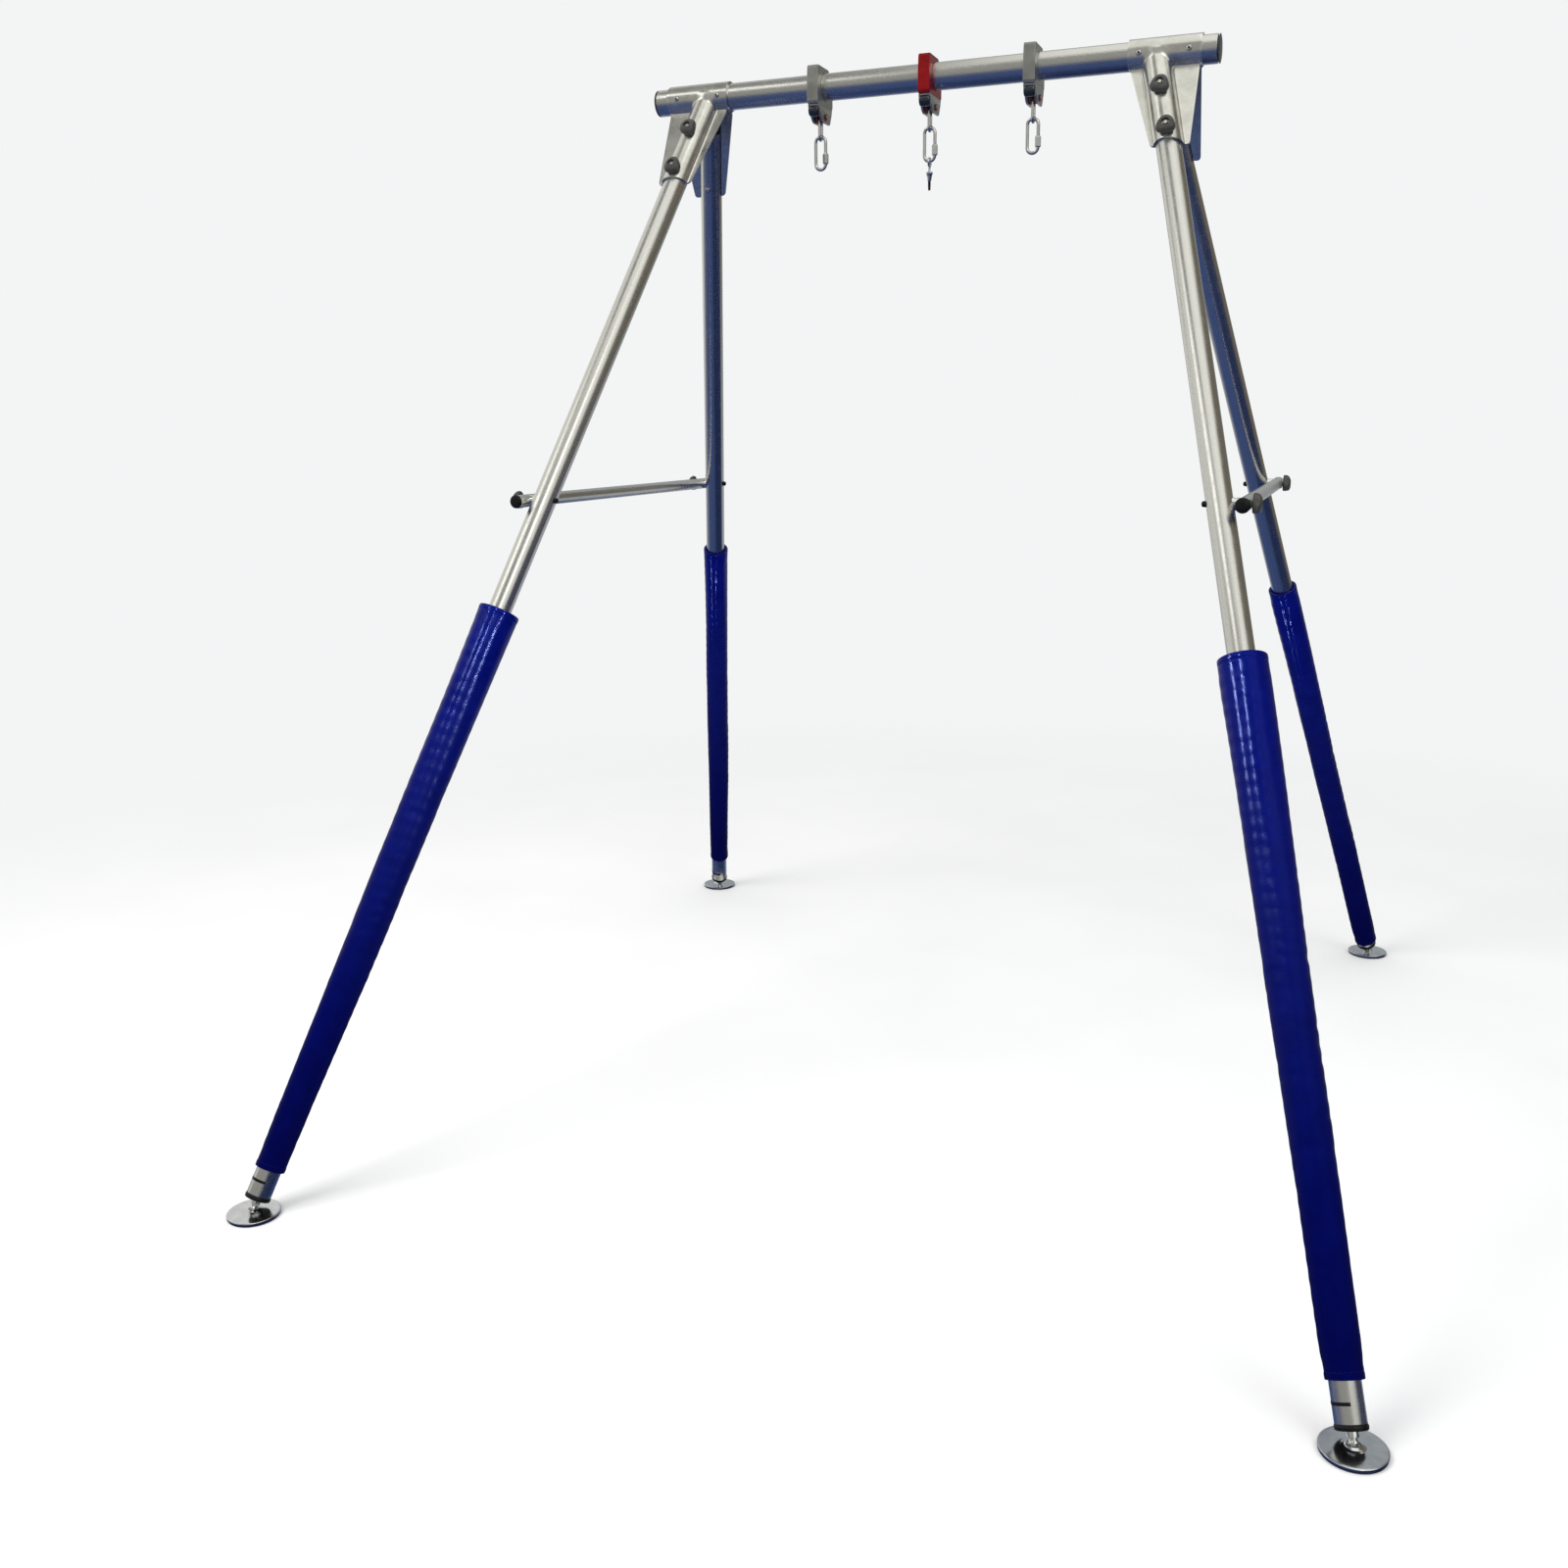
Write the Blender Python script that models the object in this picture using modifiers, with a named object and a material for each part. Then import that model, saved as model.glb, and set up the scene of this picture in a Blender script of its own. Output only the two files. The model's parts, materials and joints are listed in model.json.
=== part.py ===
"""Free-standing patient lift and therapy hoist frame.

A horizontal beam stands on four splayed legs.  Each leg is held to the beam by a
cast corner bracket and two clamp knobs.  A brace ties the front and rear leg of
each side.  Three clamps slide along the beam, and each carries a hanger link and
a screw-gate quick link.  Padded sleeves wrap the lower legs, and every leg stands
on a swivelling levelling foot.

Units are metres, +Z is up, +X runs along the beam to the right, -Y is the front.
The origin is on the floor below the middle of the beam.
"""

import math
from collections import namedtuple

import bmesh
import bpy
from mathutils import Matrix, Vector

# ---------------------------------------------------------------- shared sizes
BEAM_HEIGHT = 2.3155          # beam axis above the floor
BEAM_R = 0.0285               # beam tube, 57 mm outside diameter
BEAM_WALL = 0.003
BEAM_BORE_R = BEAM_R - BEAM_WALL
BEAM_HALF = 0.6305            # half length of the tube without its end plugs

LEG_R = 0.0254                # leg tube, 2 inch outside diameter
LEG_WALL = 0.0025
LEG_TOP_X = 0.505             # where a leg axis meets the beam axis
LEG_FOOT_X = 1.074            # where a leg axis meets the floor
LEG_FOOT_Y = 1.214
LEG_START = 0.075             # tube ends, along the leg axis from the beam axis
LEG_END = 2.629

FIT_GAP = 0.0005              # running gap between mating pieces
BRACKET_WALL = 0.0040
BRACKET_PIPE_R = LEG_R + FIT_GAP + BRACKET_WALL

KNOB_STATIONS = (("upper", 0.103), ("lower", 0.202))    # distance along the leg axis
KNOB_SEAT_GAP = 0.0004        # between a knob and the surface under it
STUD_R = 0.004
STUD_HOLE_R = 0.0046

BRACE_Z = 1.424
CLAMP_X = {"left": -0.236, "center": 0.020, "right": 0.250}

X_AXIS = Vector((1, 0, 0))
Y_AXIS = Vector((0, 1, 0))
Z_AXIS = Vector((0, 0, 1))

# ---------------------------------------------------------------- scene set-up
for old in list(bpy.data.objects):
    bpy.data.objects.remove(old, do_unlink=True)

PARTS = bpy.data.collections.new("patient_lift_hoist")
CUTTERS = bpy.data.collections.new("cutters")
bpy.context.scene.collection.children.link(PARTS)
bpy.context.scene.collection.children.link(CUTTERS)


# ---------------------------------------------------------------- materials
def material(name, colour, roughness, metallic):
    made = bpy.data.materials.new(name)
    made.use_nodes = True
    shader = made.node_tree.nodes["Principled BSDF"]
    shader.inputs["Base Color"].default_value = (*colour, 1.0)
    shader.inputs["Roughness"].default_value = roughness
    shader.inputs["Metallic"].default_value = metallic
    made.diffuse_color = (*colour, 1.0)
    return made


ALUMINIUM = material("satin_aluminium", (0.62, 0.62, 0.60), roughness=0.34, metallic=1.0)
CASTING = material("cast_aluminium", (0.66, 0.66, 0.62), roughness=0.48, metallic=0.9)
KNOB_BLACK = material("knob_plastic", (0.035, 0.035, 0.034), roughness=0.42, metallic=0.0)
PLUG_BLACK = material("plug_plastic", (0.012, 0.012, 0.013), roughness=0.45, metallic=0.0)
CHROME = material("chrome", (0.80, 0.80, 0.80), roughness=0.08, metallic=1.0)
VINYL = material("blue_vinyl", (0.005, 0.012, 0.22), roughness=0.30, metallic=0.0)
CLAMP_GREY = material("clamp_grey", (0.30, 0.30, 0.28), roughness=0.50, metallic=0.6)
CLAMP_RED = material("clamp_red", (0.26, 0.012, 0.014), roughness=0.42, metallic=0.1)
STEEL = material("yoke_steel", (0.34, 0.35, 0.36), roughness=0.38, metallic=0.9)
BUSH = material("bush_red_brown", (0.20, 0.035, 0.015), roughness=0.5, metallic=0.0)


# ---------------------------------------------------------------- object helpers
def move_to(collection, obj):
    for current in list(obj.users_collection):
        current.objects.unlink(obj)
    collection.objects.link(obj)


def finish(mesh, mat, sharp_angle):
    """Gives a mesh its only material, and smooth shading below an angle in degrees."""
    mesh.materials.clear()
    mesh.materials.append(mat)
    mesh.shade_smooth()
    mesh.set_sharp_from_angle(angle=math.radians(sharp_angle))


def as_part(obj, name, mat, sharp_angle=35):
    """Names a finished object, gives it its finish and files it with the parts."""
    obj.name = name
    obj.data.name = name
    finish(obj.data, mat, sharp_angle)
    move_to(PARTS, obj)


def placed(name, data, matrix):
    """Links a new object that holds the given mesh or curve."""
    obj = bpy.data.objects.new(name, data)
    bpy.context.scene.collection.objects.link(obj)
    obj.matrix_world = matrix
    return obj


def mesh_object(name, bm, matrix):
    mesh = bpy.data.meshes.new(name)
    bm.to_mesh(mesh)
    bm.free()
    return placed(name, mesh, matrix)


def baked(obj):
    """Turns an object and its modifiers, or a curve, into a plain welded mesh object."""
    bpy.context.view_layer.update()
    graph = bpy.context.evaluated_depsgraph_get()
    mesh = bpy.data.meshes.new_from_object(obj.evaluated_get(graph))
    bm = bmesh.new()
    bm.from_mesh(mesh)
    bmesh.ops.remove_doubles(bm, verts=bm.verts, dist=0.00001)
    bm.to_mesh(mesh)
    bm.free()
    made = placed(obj.name + "_mesh", mesh, obj.matrix_world.copy())
    bpy.data.objects.remove(obj, do_unlink=True)
    return made


def settled(obj):
    """Moves an object's place and rotation into its mesh, so that its frame is the world's."""
    obj.data.transform(obj.matrix_world)
    obj.matrix_world = Matrix.Identity(4)
    return obj


def outward(obj):
    """Turns every face of a closed mesh outward."""
    bm = bmesh.new()
    bm.from_mesh(obj.data)
    bmesh.ops.recalc_face_normals(bm, faces=bm.faces)
    bm.to_mesh(obj.data)
    bm.free()
    return obj


def axes_matrix(x_axis, y_axis, z_axis, origin):
    matrix = Matrix((x_axis, y_axis, z_axis)).transposed().to_4x4()
    matrix.translation = Vector(origin)
    return matrix


def frame(origin, z_axis, x_hint):
    """Right-handed matrix with its Z along z_axis and its X as near x_hint as it can be."""
    z = Vector(z_axis).normalized()
    x = Vector(x_hint)
    x = (x - x.dot(z) * z).normalized()
    return axes_matrix(x, z.cross(x), z, origin)


# ---------------------------------------------------------------- shape helpers
def cylinder(name, radius, start, end, segments, x_hint=Z_AXIS):
    start, end = Vector(start), Vector(end)
    bm = bmesh.new()
    bmesh.ops.create_cone(
        bm, cap_ends=True, segments=segments, radius1=radius, radius2=radius,
        depth=(end - start).length,
    )
    if abs((end - start).normalized().dot(Vector(x_hint))) > 0.99:
        x_hint = Y_AXIS
    return mesh_object(name, bm, frame((start + end) / 2, end - start, x_hint))


def box(name, low, high):
    low, high = Vector(low), Vector(high)
    bm = bmesh.new()
    bmesh.ops.create_cube(bm, size=1.0)
    bmesh.ops.scale(bm, vec=high - low, verts=bm.verts)
    return mesh_object(name, bm, Matrix.Translation((low + high) / 2))


def turned(name, profile, steps, matrix):
    """Revolves a profile of (radius, height) points about local Z.

    A profile that starts and ends off the axis is closed into a ring.
    """
    bm = bmesh.new()
    verts = [bm.verts.new((radius, 0.0, z)) for radius, z in profile]
    for start, end in zip(verts, verts[1:]):
        bm.edges.new((start, end))
    if profile[0][0] > 1e-6 and profile[-1][0] > 1e-6:
        bm.edges.new((verts[-1], verts[0]))
    obj = mesh_object(name, bm, matrix)
    screw = obj.modifiers.new("turn", "SCREW")
    screw.axis = "Z"
    screw.angle = 2 * math.pi
    screw.steps = steps
    screw.render_steps = steps
    screw.use_merge_vertices = True
    screw.merge_threshold = 0.00001
    screw.use_normal_calculate = False
    return baked(obj)


def tube(name, radius, wall, half, steps, matrix):
    """Round tube centred on the matrix, along its Z."""
    bore = radius - wall
    profile = [(radius, half), (radius, -half), (bore, -half), (bore, half)]
    return turned(name, profile, steps, matrix)


def curve_mesh(curve, points, cyclic, matrix):
    """Runs a curve through straight-line points and bakes it to an outward mesh."""
    spline = curve.splines.new("POLY")
    spline.points.add(len(points) - 1)
    for point, place in zip(spline.points, points):
        point.co = (*place, 1.0)
    spline.use_cyclic_u = cyclic
    return outward(baked(placed(curve.name, curve, matrix)))


def plate(name, outline, thickness, matrix):
    """Flat piece: a closed outline in its local XY plane, extruded evenly to both sides."""
    curve = bpy.data.curves.new(name, "CURVE")
    curve.dimensions = "2D"
    curve.fill_mode = "BOTH"
    curve.extrude = thickness / 2
    return curve_mesh(curve, [(x, y, 0.0) for x, y in outline], True, matrix)


def wire(name, points, radius, matrix, cyclic):
    """Round wire through 3D points, capped when it is open."""
    curve = bpy.data.curves.new(name, "CURVE")
    curve.dimensions = "3D"
    curve.bevel_depth = radius
    curve.bevel_resolution = 2
    curve.use_fill_caps = not cyclic
    return curve_mesh(curve, points, cyclic, matrix)


def boolean(target, other, operation="DIFFERENCE"):
    """Adds a live boolean and files the other object with the cutters."""
    modifier = target.modifiers.new(operation.lower(), "BOOLEAN")
    modifier.operation = operation
    modifier.solver = "EXACT"
    modifier.object = other
    other.hide_render = True
    other.display_type = "WIRE"
    move_to(CUTTERS, other)


def bore(target, name, radius, centre, reach, segments=8, x_hint=Z_AXIS):
    """Drills a round hole that runs from centre - reach to centre + reach."""
    centre, reach = Vector(centre), Vector(reach)
    boolean(target, cylinder(name, radius, centre - reach, centre + reach, segments, x_hint))


def arc(centre_x, centre_y, radius, start, end, count):
    """Points on an arc, angles in degrees."""
    points = []
    for i in range(count):
        angle = math.radians(start + (end - start) * i / (count - 1))
        points.append((centre_x + radius * math.cos(angle), centre_y + radius * math.sin(angle)))
    return points


# ---------------------------------------------------------------- leg geometry
# top is where the leg axis meets the beam axis, axis is the unit direction down to
# the foot, and normal points out of the frame, square to the plane of beam and leg.
Leg = namedtuple("Leg", "side_x side_y top axis normal")


def leg_layout(side_x, side_y):
    top = Vector((side_x * LEG_TOP_X, 0.0, BEAM_HEIGHT))
    foot = Vector((side_x * LEG_FOOT_X, side_y * LEG_FOOT_Y, 0.0))
    axis = (foot - top).normalized()
    normal = X_AXIS.cross(axis).normalized()
    if normal.y * side_y < 0:
        normal = -normal
    return Leg(side_x, side_y, top, axis, normal)


LEGS = {
    "front_left": leg_layout(-1, -1),
    "front_right": leg_layout(1, -1),
    "rear_left": leg_layout(-1, 1),
    "rear_right": leg_layout(1, 1),
}
SIDES = (("left", -1), ("right", 1))


def point_along(leg, distance):
    return leg.top + leg.axis * distance


def point_at_height(leg, z):
    return point_along(leg, (BEAM_HEIGHT - z) / -leg.axis.z)


# ---------------------------------------------------------------- beam
PLUG_GAP = 0.0003             # between the tube end and the plug's flange
PLUG_HEAD = 0.0040
PLUG_DEPTH = 0.022


def build_beam():
    matrix = frame((0, 0, BEAM_HEIGHT), X_AXIS, Z_AXIS)
    beam = tube("beam_tube", BEAM_R, BEAM_WALL, BEAM_HALF, 28, matrix)
    as_part(beam, "beam_tube", ALUMINIUM)


def build_beam_plug(side, side_x):
    shank_r = BEAM_BORE_R - FIT_GAP
    profile = [
        (0, PLUG_HEAD), (BEAM_R - 0.002, PLUG_HEAD), (BEAM_R, 0.0025), (BEAM_R, 0.0),
        (shank_r, 0.0), (shank_r, -PLUG_DEPTH), (0, -PLUG_DEPTH),
    ]
    origin = (side_x * (BEAM_HALF + PLUG_GAP), 0, BEAM_HEIGHT)
    plug = turned("beam_plug", profile, 16, frame(origin, (side_x, 0, 0), Z_AXIS))
    as_part(plug, "beam_plug_" + side, PLUG_BLACK)


# ---------------------------------------------------------------- corner brackets
BRACKET_IN = -0.053           # sleeve ends along the beam, from the leg's top point
BRACKET_OUT = 0.096
BRACKET_RIM = 0.221           # lower rim below the beam axis, along the wing plane
WING_IN = -0.047              # wing edges at the beam, from the leg's top point
WING_OUT = 0.092
WING_SHOULDER = 0.040         # where the wing edges start to converge or slant
WING_TIP_IN = -0.036          # wing edges at the lower rim, from the leg axis
WING_TIP_OUT = 0.040
WING_TIP_R = 0.006            # rounding of the corners at the lower rim


def wing_outline(leg_slope):
    """Points (down the wing plane, outward along the beam)."""
    rim_mid = leg_slope * BRACKET_RIM
    tip_x = BRACKET_RIM - WING_TIP_R
    return (
        [(0.0, WING_IN), (0.0, WING_OUT), (WING_SHOULDER, WING_OUT)]
        + arc(tip_x, rim_mid + WING_TIP_OUT - WING_TIP_R, WING_TIP_R, 80, 0, 4)
        + arc(tip_x, rim_mid + WING_TIP_IN + WING_TIP_R, WING_TIP_R, 0, -75, 4)
        + [(WING_SHOULDER, WING_IN)]
    )


def seam_cutter(down, normal):
    """Block whose near face lies a fit gap in front of the upright plane through the beam."""
    back = Vector((Y_AXIS.dot(down), 0.0, Y_AXIS.dot(normal)))
    seam = box("cut_seam", (-0.2, -0.2, -0.1), (0.2, 0.2, 0.0))
    seam.matrix_world = frame(-back * FIT_GAP, -back, Y_AXIS) @ seam.matrix_world
    return seam


def build_brackets():
    """Shapes the front right bracket in its own frame and mirrors it to all corners.

    The frame has X down the wing plane, Y outward along the beam, Z out of the hoist.
    """
    leg = LEGS["front_right"]
    down = (leg.axis - leg.axis.x * X_AXIS).normalized()
    to_world = axes_matrix(down, X_AXIS, leg.normal, leg.top)
    leg_local = Vector((leg.axis.dot(down), leg.axis.x, 0.0))
    leg_slope = leg.axis.x / leg.axis.dot(down)

    bracket = cylinder(
        "bracket_sleeve", BEAM_R + FIT_GAP + BRACKET_WALL,
        (0, BRACKET_IN, 0), (0, BRACKET_OUT, 0), 28, X_AXIS)
    pipe = cylinder("bracket_pipe", BRACKET_PIPE_R, leg_local * 0.002, leg_local * 0.300, 28)
    boolean(bracket, pipe, "UNION")
    wings = plate("bracket_wings", wing_outline(leg_slope), BRACKET_WALL, Matrix.Identity(4))
    boolean(bracket, wings, "UNION")

    bore(bracket, "bore_beam", BEAM_R + FIT_GAP, (0, 0, 0), (0, 0.2, 0), 28, X_AXIS)
    boolean(bracket, cylinder(
        "bore_leg", LEG_R + FIT_GAP, leg_local * 0.020, leg_local * 0.400, 28))
    # Everything inboard of the wings goes, then everything past the lower rim.
    boolean(bracket, box("cut_rear", (-0.2, -0.2, -0.1), (0.5, 0.3, -BRACKET_WALL / 2)))
    boolean(bracket, box("cut_rim", (BRACKET_RIM, -0.2, -0.1), (0.5, 0.3, 0.1)))
    boolean(bracket, seam_cutter(down, leg.normal))
    for _, distance in KNOB_STATIONS:
        centre = leg_local * distance
        boolean(bracket, cylinder(
            "bore_stud", STUD_HOLE_R, centre + Z_AXIS * 0.01, centre + Z_AXIS * 0.05, 8, X_AXIS))

    bracket = settled(baked(bracket))
    mesh = bracket.data
    finish(mesh, CASTING, 28)
    bpy.data.objects.remove(bracket)
    for name, corner in LEGS.items():
        copy = bpy.data.objects.new("bracket_" + name, mesh)
        PARTS.objects.link(copy)
        copy.matrix_world = Matrix.Diagonal((corner.side_x, -corner.side_y, 1.0, 1.0)) @ to_world


# ---------------------------------------------------------------- legs
def build_leg(name, leg):
    middle = point_along(leg, (LEG_START + LEG_END) / 2)
    obj = tube("leg", LEG_R, LEG_WALL, (LEG_END - LEG_START) / 2, 24,
               frame(middle, leg.axis, leg.normal))
    for label, distance in KNOB_STATIONS:
        bore(obj, "bore_%s_%s" % (name, label), STUD_HOLE_R,
             point_along(leg, distance), leg.normal * 0.04)
    bore(obj, "bore_%s_brace" % name, STUD_HOLE_R, point_at_height(leg, BRACE_Z), X_AXIS * 0.04)
    as_part(obj, "leg_" + name, ALUMINIUM)


# ---------------------------------------------------------------- clamp knobs
KNOB_R = 0.0212               # at the tip of a lobe
KNOB_HEIGHT = 0.0175
KNOB_LOBES = 3
KNOB_LOBE_DEPTH = 0.095       # swing of the outline about its mean, as a share of KNOB_R
KNOB_POINTS = 18
KNOB_EDGE = 0.0045            # bevel width
KNOB_EYE_R = 0.0046           # blind hole in the outer face
KNOB_EYE_FLOOR = 0.0095
STUD_TOP = 0.006              # end of the stud inside the knob
LEG_STUD_PAST = 0.0060        # stud reach beyond the far side of the leg
BRACE_STUD_PAST = 0.0085


def knob_outline():
    points = []
    for i in range(KNOB_POINTS):
        angle = 2 * math.pi * i / KNOB_POINTS
        swing = KNOB_LOBE_DEPTH * math.cos(KNOB_LOBES * angle)
        radius = KNOB_R * (1 - KNOB_LOBE_DEPTH + swing)
        points.append((radius * math.cos(angle), radius * math.sin(angle)))
    return points


def build_knob(name, stud_length, matrix):
    """Three-lobed knob on a through stud.  Local +Z points out along the joint axis."""
    body = plate(
        "knob_body", knob_outline(), KNOB_HEIGHT, Matrix.Translation((0, 0, KNOB_HEIGHT / 2)))
    bevel = body.modifiers.new("edge", "BEVEL")
    bevel.width = KNOB_EDGE
    bevel.segments = 1
    bevel.limit_method = "ANGLE"
    bevel.angle_limit = math.radians(60)
    body = outward(settled(baked(body)))
    boolean(body, cylinder("knob_eye", KNOB_EYE_R, (0, 0, KNOB_EYE_FLOOR), (0, 0, 0.05), 8))
    stud = cylinder("knob_stud", STUD_R, (0, 0, -stud_length), (0, 0, STUD_TOP), 8)
    boolean(body, stud, "UNION")
    body = baked(body)
    body.matrix_world = matrix
    as_part(body, name, KNOB_BLACK, 50)


def build_leg_knobs(name, leg):
    stud_length = BRACKET_PIPE_R + LEG_R + LEG_STUD_PAST
    for label, distance in KNOB_STATIONS:
        base = point_along(leg, distance) + leg.normal * (BRACKET_PIPE_R + KNOB_SEAT_GAP)
        build_knob("leg_knob_%s_%s" % (name, label), stud_length,
                   frame(base, leg.normal, -leg.axis))


# ---------------------------------------------------------------- braces
BRACE_R = 0.014
BRACE_WALL = 0.002
BRACE_HALF = 0.515
BRACE_AXIS_OUT = 0.0450       # brace axis outboard of the leg axis


def build_brace(side, side_x):
    """Tube along Y outboard of two legs, with a knob at each leg."""
    joint = point_at_height(LEGS["front_" + side], BRACE_Z)
    joint_y = abs(joint.y)
    x = joint.x + side_x * BRACE_AXIS_OUT
    brace = tube("brace", BRACE_R, BRACE_WALL, BRACE_HALF, 16,
                 frame((x, 0, BRACE_Z), Y_AXIS, Z_AXIS))
    for side_y in (-1, 1):
        bore(brace, "bore_brace_%s_%d" % (side, side_y), STUD_HOLE_R,
             (x, side_y * joint_y, BRACE_Z), X_AXIS * 0.03)
    as_part(brace, "brace_" + side, ALUMINIUM)

    stud_length = BRACE_R + BRACE_AXIS_OUT + LEG_R + BRACE_STUD_PAST
    for end, side_y in (("front", -1), ("rear", 1)):
        base = (x + side_x * (BRACE_R + KNOB_SEAT_GAP), side_y * joint_y, BRACE_Z)
        build_knob("brace_knob_%s_%s" % (end, side), stud_length,
                   frame(base, (side_x, 0, 0), Z_AXIS))


# ---------------------------------------------------------------- padded sleeves
PAD_IN_R = 0.0260
PAD_EDGE = 0.004              # chamfer at the top end
PADS = {                      # start, end along the leg axis, top radius, bottom radius
    "front_left": (1.300, 2.573, 0.0450, 0.0310),
    "front_right": (1.341, 2.564, 0.0450, 0.0310),
    "rear_left": (1.248, 2.527, 0.0340, 0.0300),
    "rear_right": (1.338, 2.619, 0.0340, 0.0300),
}


def build_pad(name, leg):
    start, end, top_r, bottom_r = PADS[name]
    length = end - start
    profile = [
        (bottom_r, length), (top_r, PAD_EDGE), (top_r - PAD_EDGE, 0.0),
        (PAD_IN_R, 0.0), (PAD_IN_R, length),
    ]
    matrix = frame(point_along(leg, start), leg.axis, leg.normal)
    as_part(turned("leg_pad", profile, 20, matrix), "leg_pad_" + name, VINYL)


# ---------------------------------------------------------------- feet
INSERT_GAP = 0.0003           # between the leg's end and the insert's ring
INSERT_SIDE_GAP = 0.0004
INSERT_RING_R = 0.0268
INSERT_RING_H = 0.0095
INSERT_BORE_R = 0.0104
INSERT_DEPTH = 0.032
FOOT_STUD_R = 0.0100
FOOT_STUD_END = 0.0815        # upper end of the stud, from the ball centre
FOOT_STUD_CHAMFER = 0.0015
FOOT_BALL_R = 0.0085
FOOT_NECK_R = 0.0065
FOOT_BALL_Z = 0.0155
FOOT_BALL_STEPS = 4
FOOT_DISC_R = 0.0540
FOOT_POCKET_R = 0.0096
FOOT_HUB_R = 0.0150
FOOT_HUB_TOP = FOOT_BALL_Z - 0.0008


def build_foot_insert(name, leg):
    shank_r = LEG_R - LEG_WALL - INSERT_SIDE_GAP
    profile = [
        (LEG_R - 0.0005, INSERT_RING_H), (INSERT_RING_R, INSERT_RING_H - 0.0020),
        (INSERT_RING_R, 0.0), (shank_r, 0.0), (shank_r, -INSERT_DEPTH),
        (INSERT_BORE_R, -INSERT_DEPTH), (INSERT_BORE_R, INSERT_RING_H),
    ]
    matrix = frame(point_along(leg, LEG_END + INSERT_GAP), leg.axis, leg.normal)
    as_part(turned("foot_insert", profile, 20, matrix), "foot_insert_" + name, PLUG_BLACK)


def build_foot_stud(name, leg):
    """Ball-ended stud about the ball centre; local +Z points down the leg."""
    neck_z = -math.sqrt(FOOT_BALL_R ** 2 - FOOT_NECK_R ** 2)
    ball_sweep = math.pi - math.asin(FOOT_NECK_R / FOOT_BALL_R)
    profile = [(0.0, FOOT_BALL_R)]
    for i in range(1, FOOT_BALL_STEPS + 1):
        angle = ball_sweep * i / FOOT_BALL_STEPS
        profile.append((FOOT_BALL_R * math.sin(angle), FOOT_BALL_R * math.cos(angle)))
    profile += [
        (FOOT_NECK_R, neck_z - 0.0025), (FOOT_STUD_R, neck_z - 0.0060),
        (FOOT_STUD_R, FOOT_STUD_CHAMFER - FOOT_STUD_END),
        (FOOT_STUD_R - FOOT_STUD_CHAMFER, -FOOT_STUD_END), (0.0, -FOOT_STUD_END),
    ]
    matrix = frame(point_at_height(leg, FOOT_BALL_Z), leg.axis, leg.normal)
    as_part(turned("foot_stud", profile, 14, matrix), "foot_stud_" + name, CHROME, 40)


def build_foot_disc(name, leg):
    """Solid disc with a blind round pocket for the ball; its origin is the ball centre."""
    pocket_floor = FOOT_BALL_Z - FOOT_BALL_R - FIT_GAP
    profile = [               # radius, height above the floor
        (0.0, pocket_floor), (FOOT_POCKET_R, pocket_floor), (FOOT_POCKET_R, FOOT_HUB_TOP),
        (FOOT_HUB_R, FOOT_HUB_TOP), (FOOT_DISC_R - 0.002, 0.0082),
        (FOOT_DISC_R, 0.0065), (FOOT_DISC_R, 0.0), (0.0, 0.0),
    ]
    profile = [(radius, z - FOOT_BALL_Z) for radius, z in profile]
    ball = point_at_height(leg, FOOT_BALL_Z)
    matrix = Matrix.Translation((ball.x, ball.y, FOOT_BALL_Z))
    as_part(turned("foot_disc", profile, 28, matrix), "foot_disc_" + name, CHROME, 30)


# ---------------------------------------------------------------- beam clamps
CLAMP_HALF_W = 0.0130
PIN_Y = 0.004
PIN_DROP = 0.062              # pin axis below the beam axis
PIN_Z = BEAM_HEIGHT - PIN_DROP
PIN_R = 0.0040
PIN_GAP = 0.0003
YOKE_SLOT_HALF = 0.0085
YOKE_SLOT_ROOF = 0.0440       # below the beam axis

# Side outlines: (Y, Z) from the beam axis.
BLOCK_OUTLINE = [
    (-0.0460, 0.0360), (-0.0430, 0.0405), (0.0240, 0.0405), (0.0510, 0.0150),
    (0.0510, -0.0360), (0.0480, -0.0395), (-0.0450, -0.0395), (-0.0490, -0.0340),
    (-0.0500, 0.0000),
]
YOKE_OUTLINE = [
    (-0.0430, -0.0398), (0.0470, -0.0398), (0.0440, -0.0500), (0.0330, -0.0725),
    (0.0290, -0.0750), (-0.0080, -0.0750), (-0.0180, -0.0710), (-0.0400, -0.0480),
]
# Half of the pin from its middle outward: (radius, distance along X).
PIN_PROFILE = [
    (PIN_R, 0.0043), (0.0088, 0.0043), (0.0088, 0.0081), (PIN_R, 0.0081),
    (PIN_R, 0.0134), (0.0068, 0.0134), (0.0068, 0.0165), (0.0, 0.0165),
]


def clamp_plate(name, outline, x):
    """Plate across the beam: its local X, Y, Z are the world's Y, Z, X."""
    matrix = axes_matrix(Y_AXIS, Z_AXIS, X_AXIS, (x, 0, BEAM_HEIGHT))
    return plate(name, outline, 2 * CLAMP_HALF_W, matrix)


def build_clamp_block(side, x):
    block = clamp_plate("clamp_block", BLOCK_OUTLINE, x)
    bore(block, "bore_clamp_" + side, BEAM_R + FIT_GAP,
         (x, 0, BEAM_HEIGHT), X_AXIS * 0.05, 28)
    as_part(block, "clamp_block_" + side, CLAMP_RED if side == "center" else CLAMP_GREY, 30)


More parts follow.
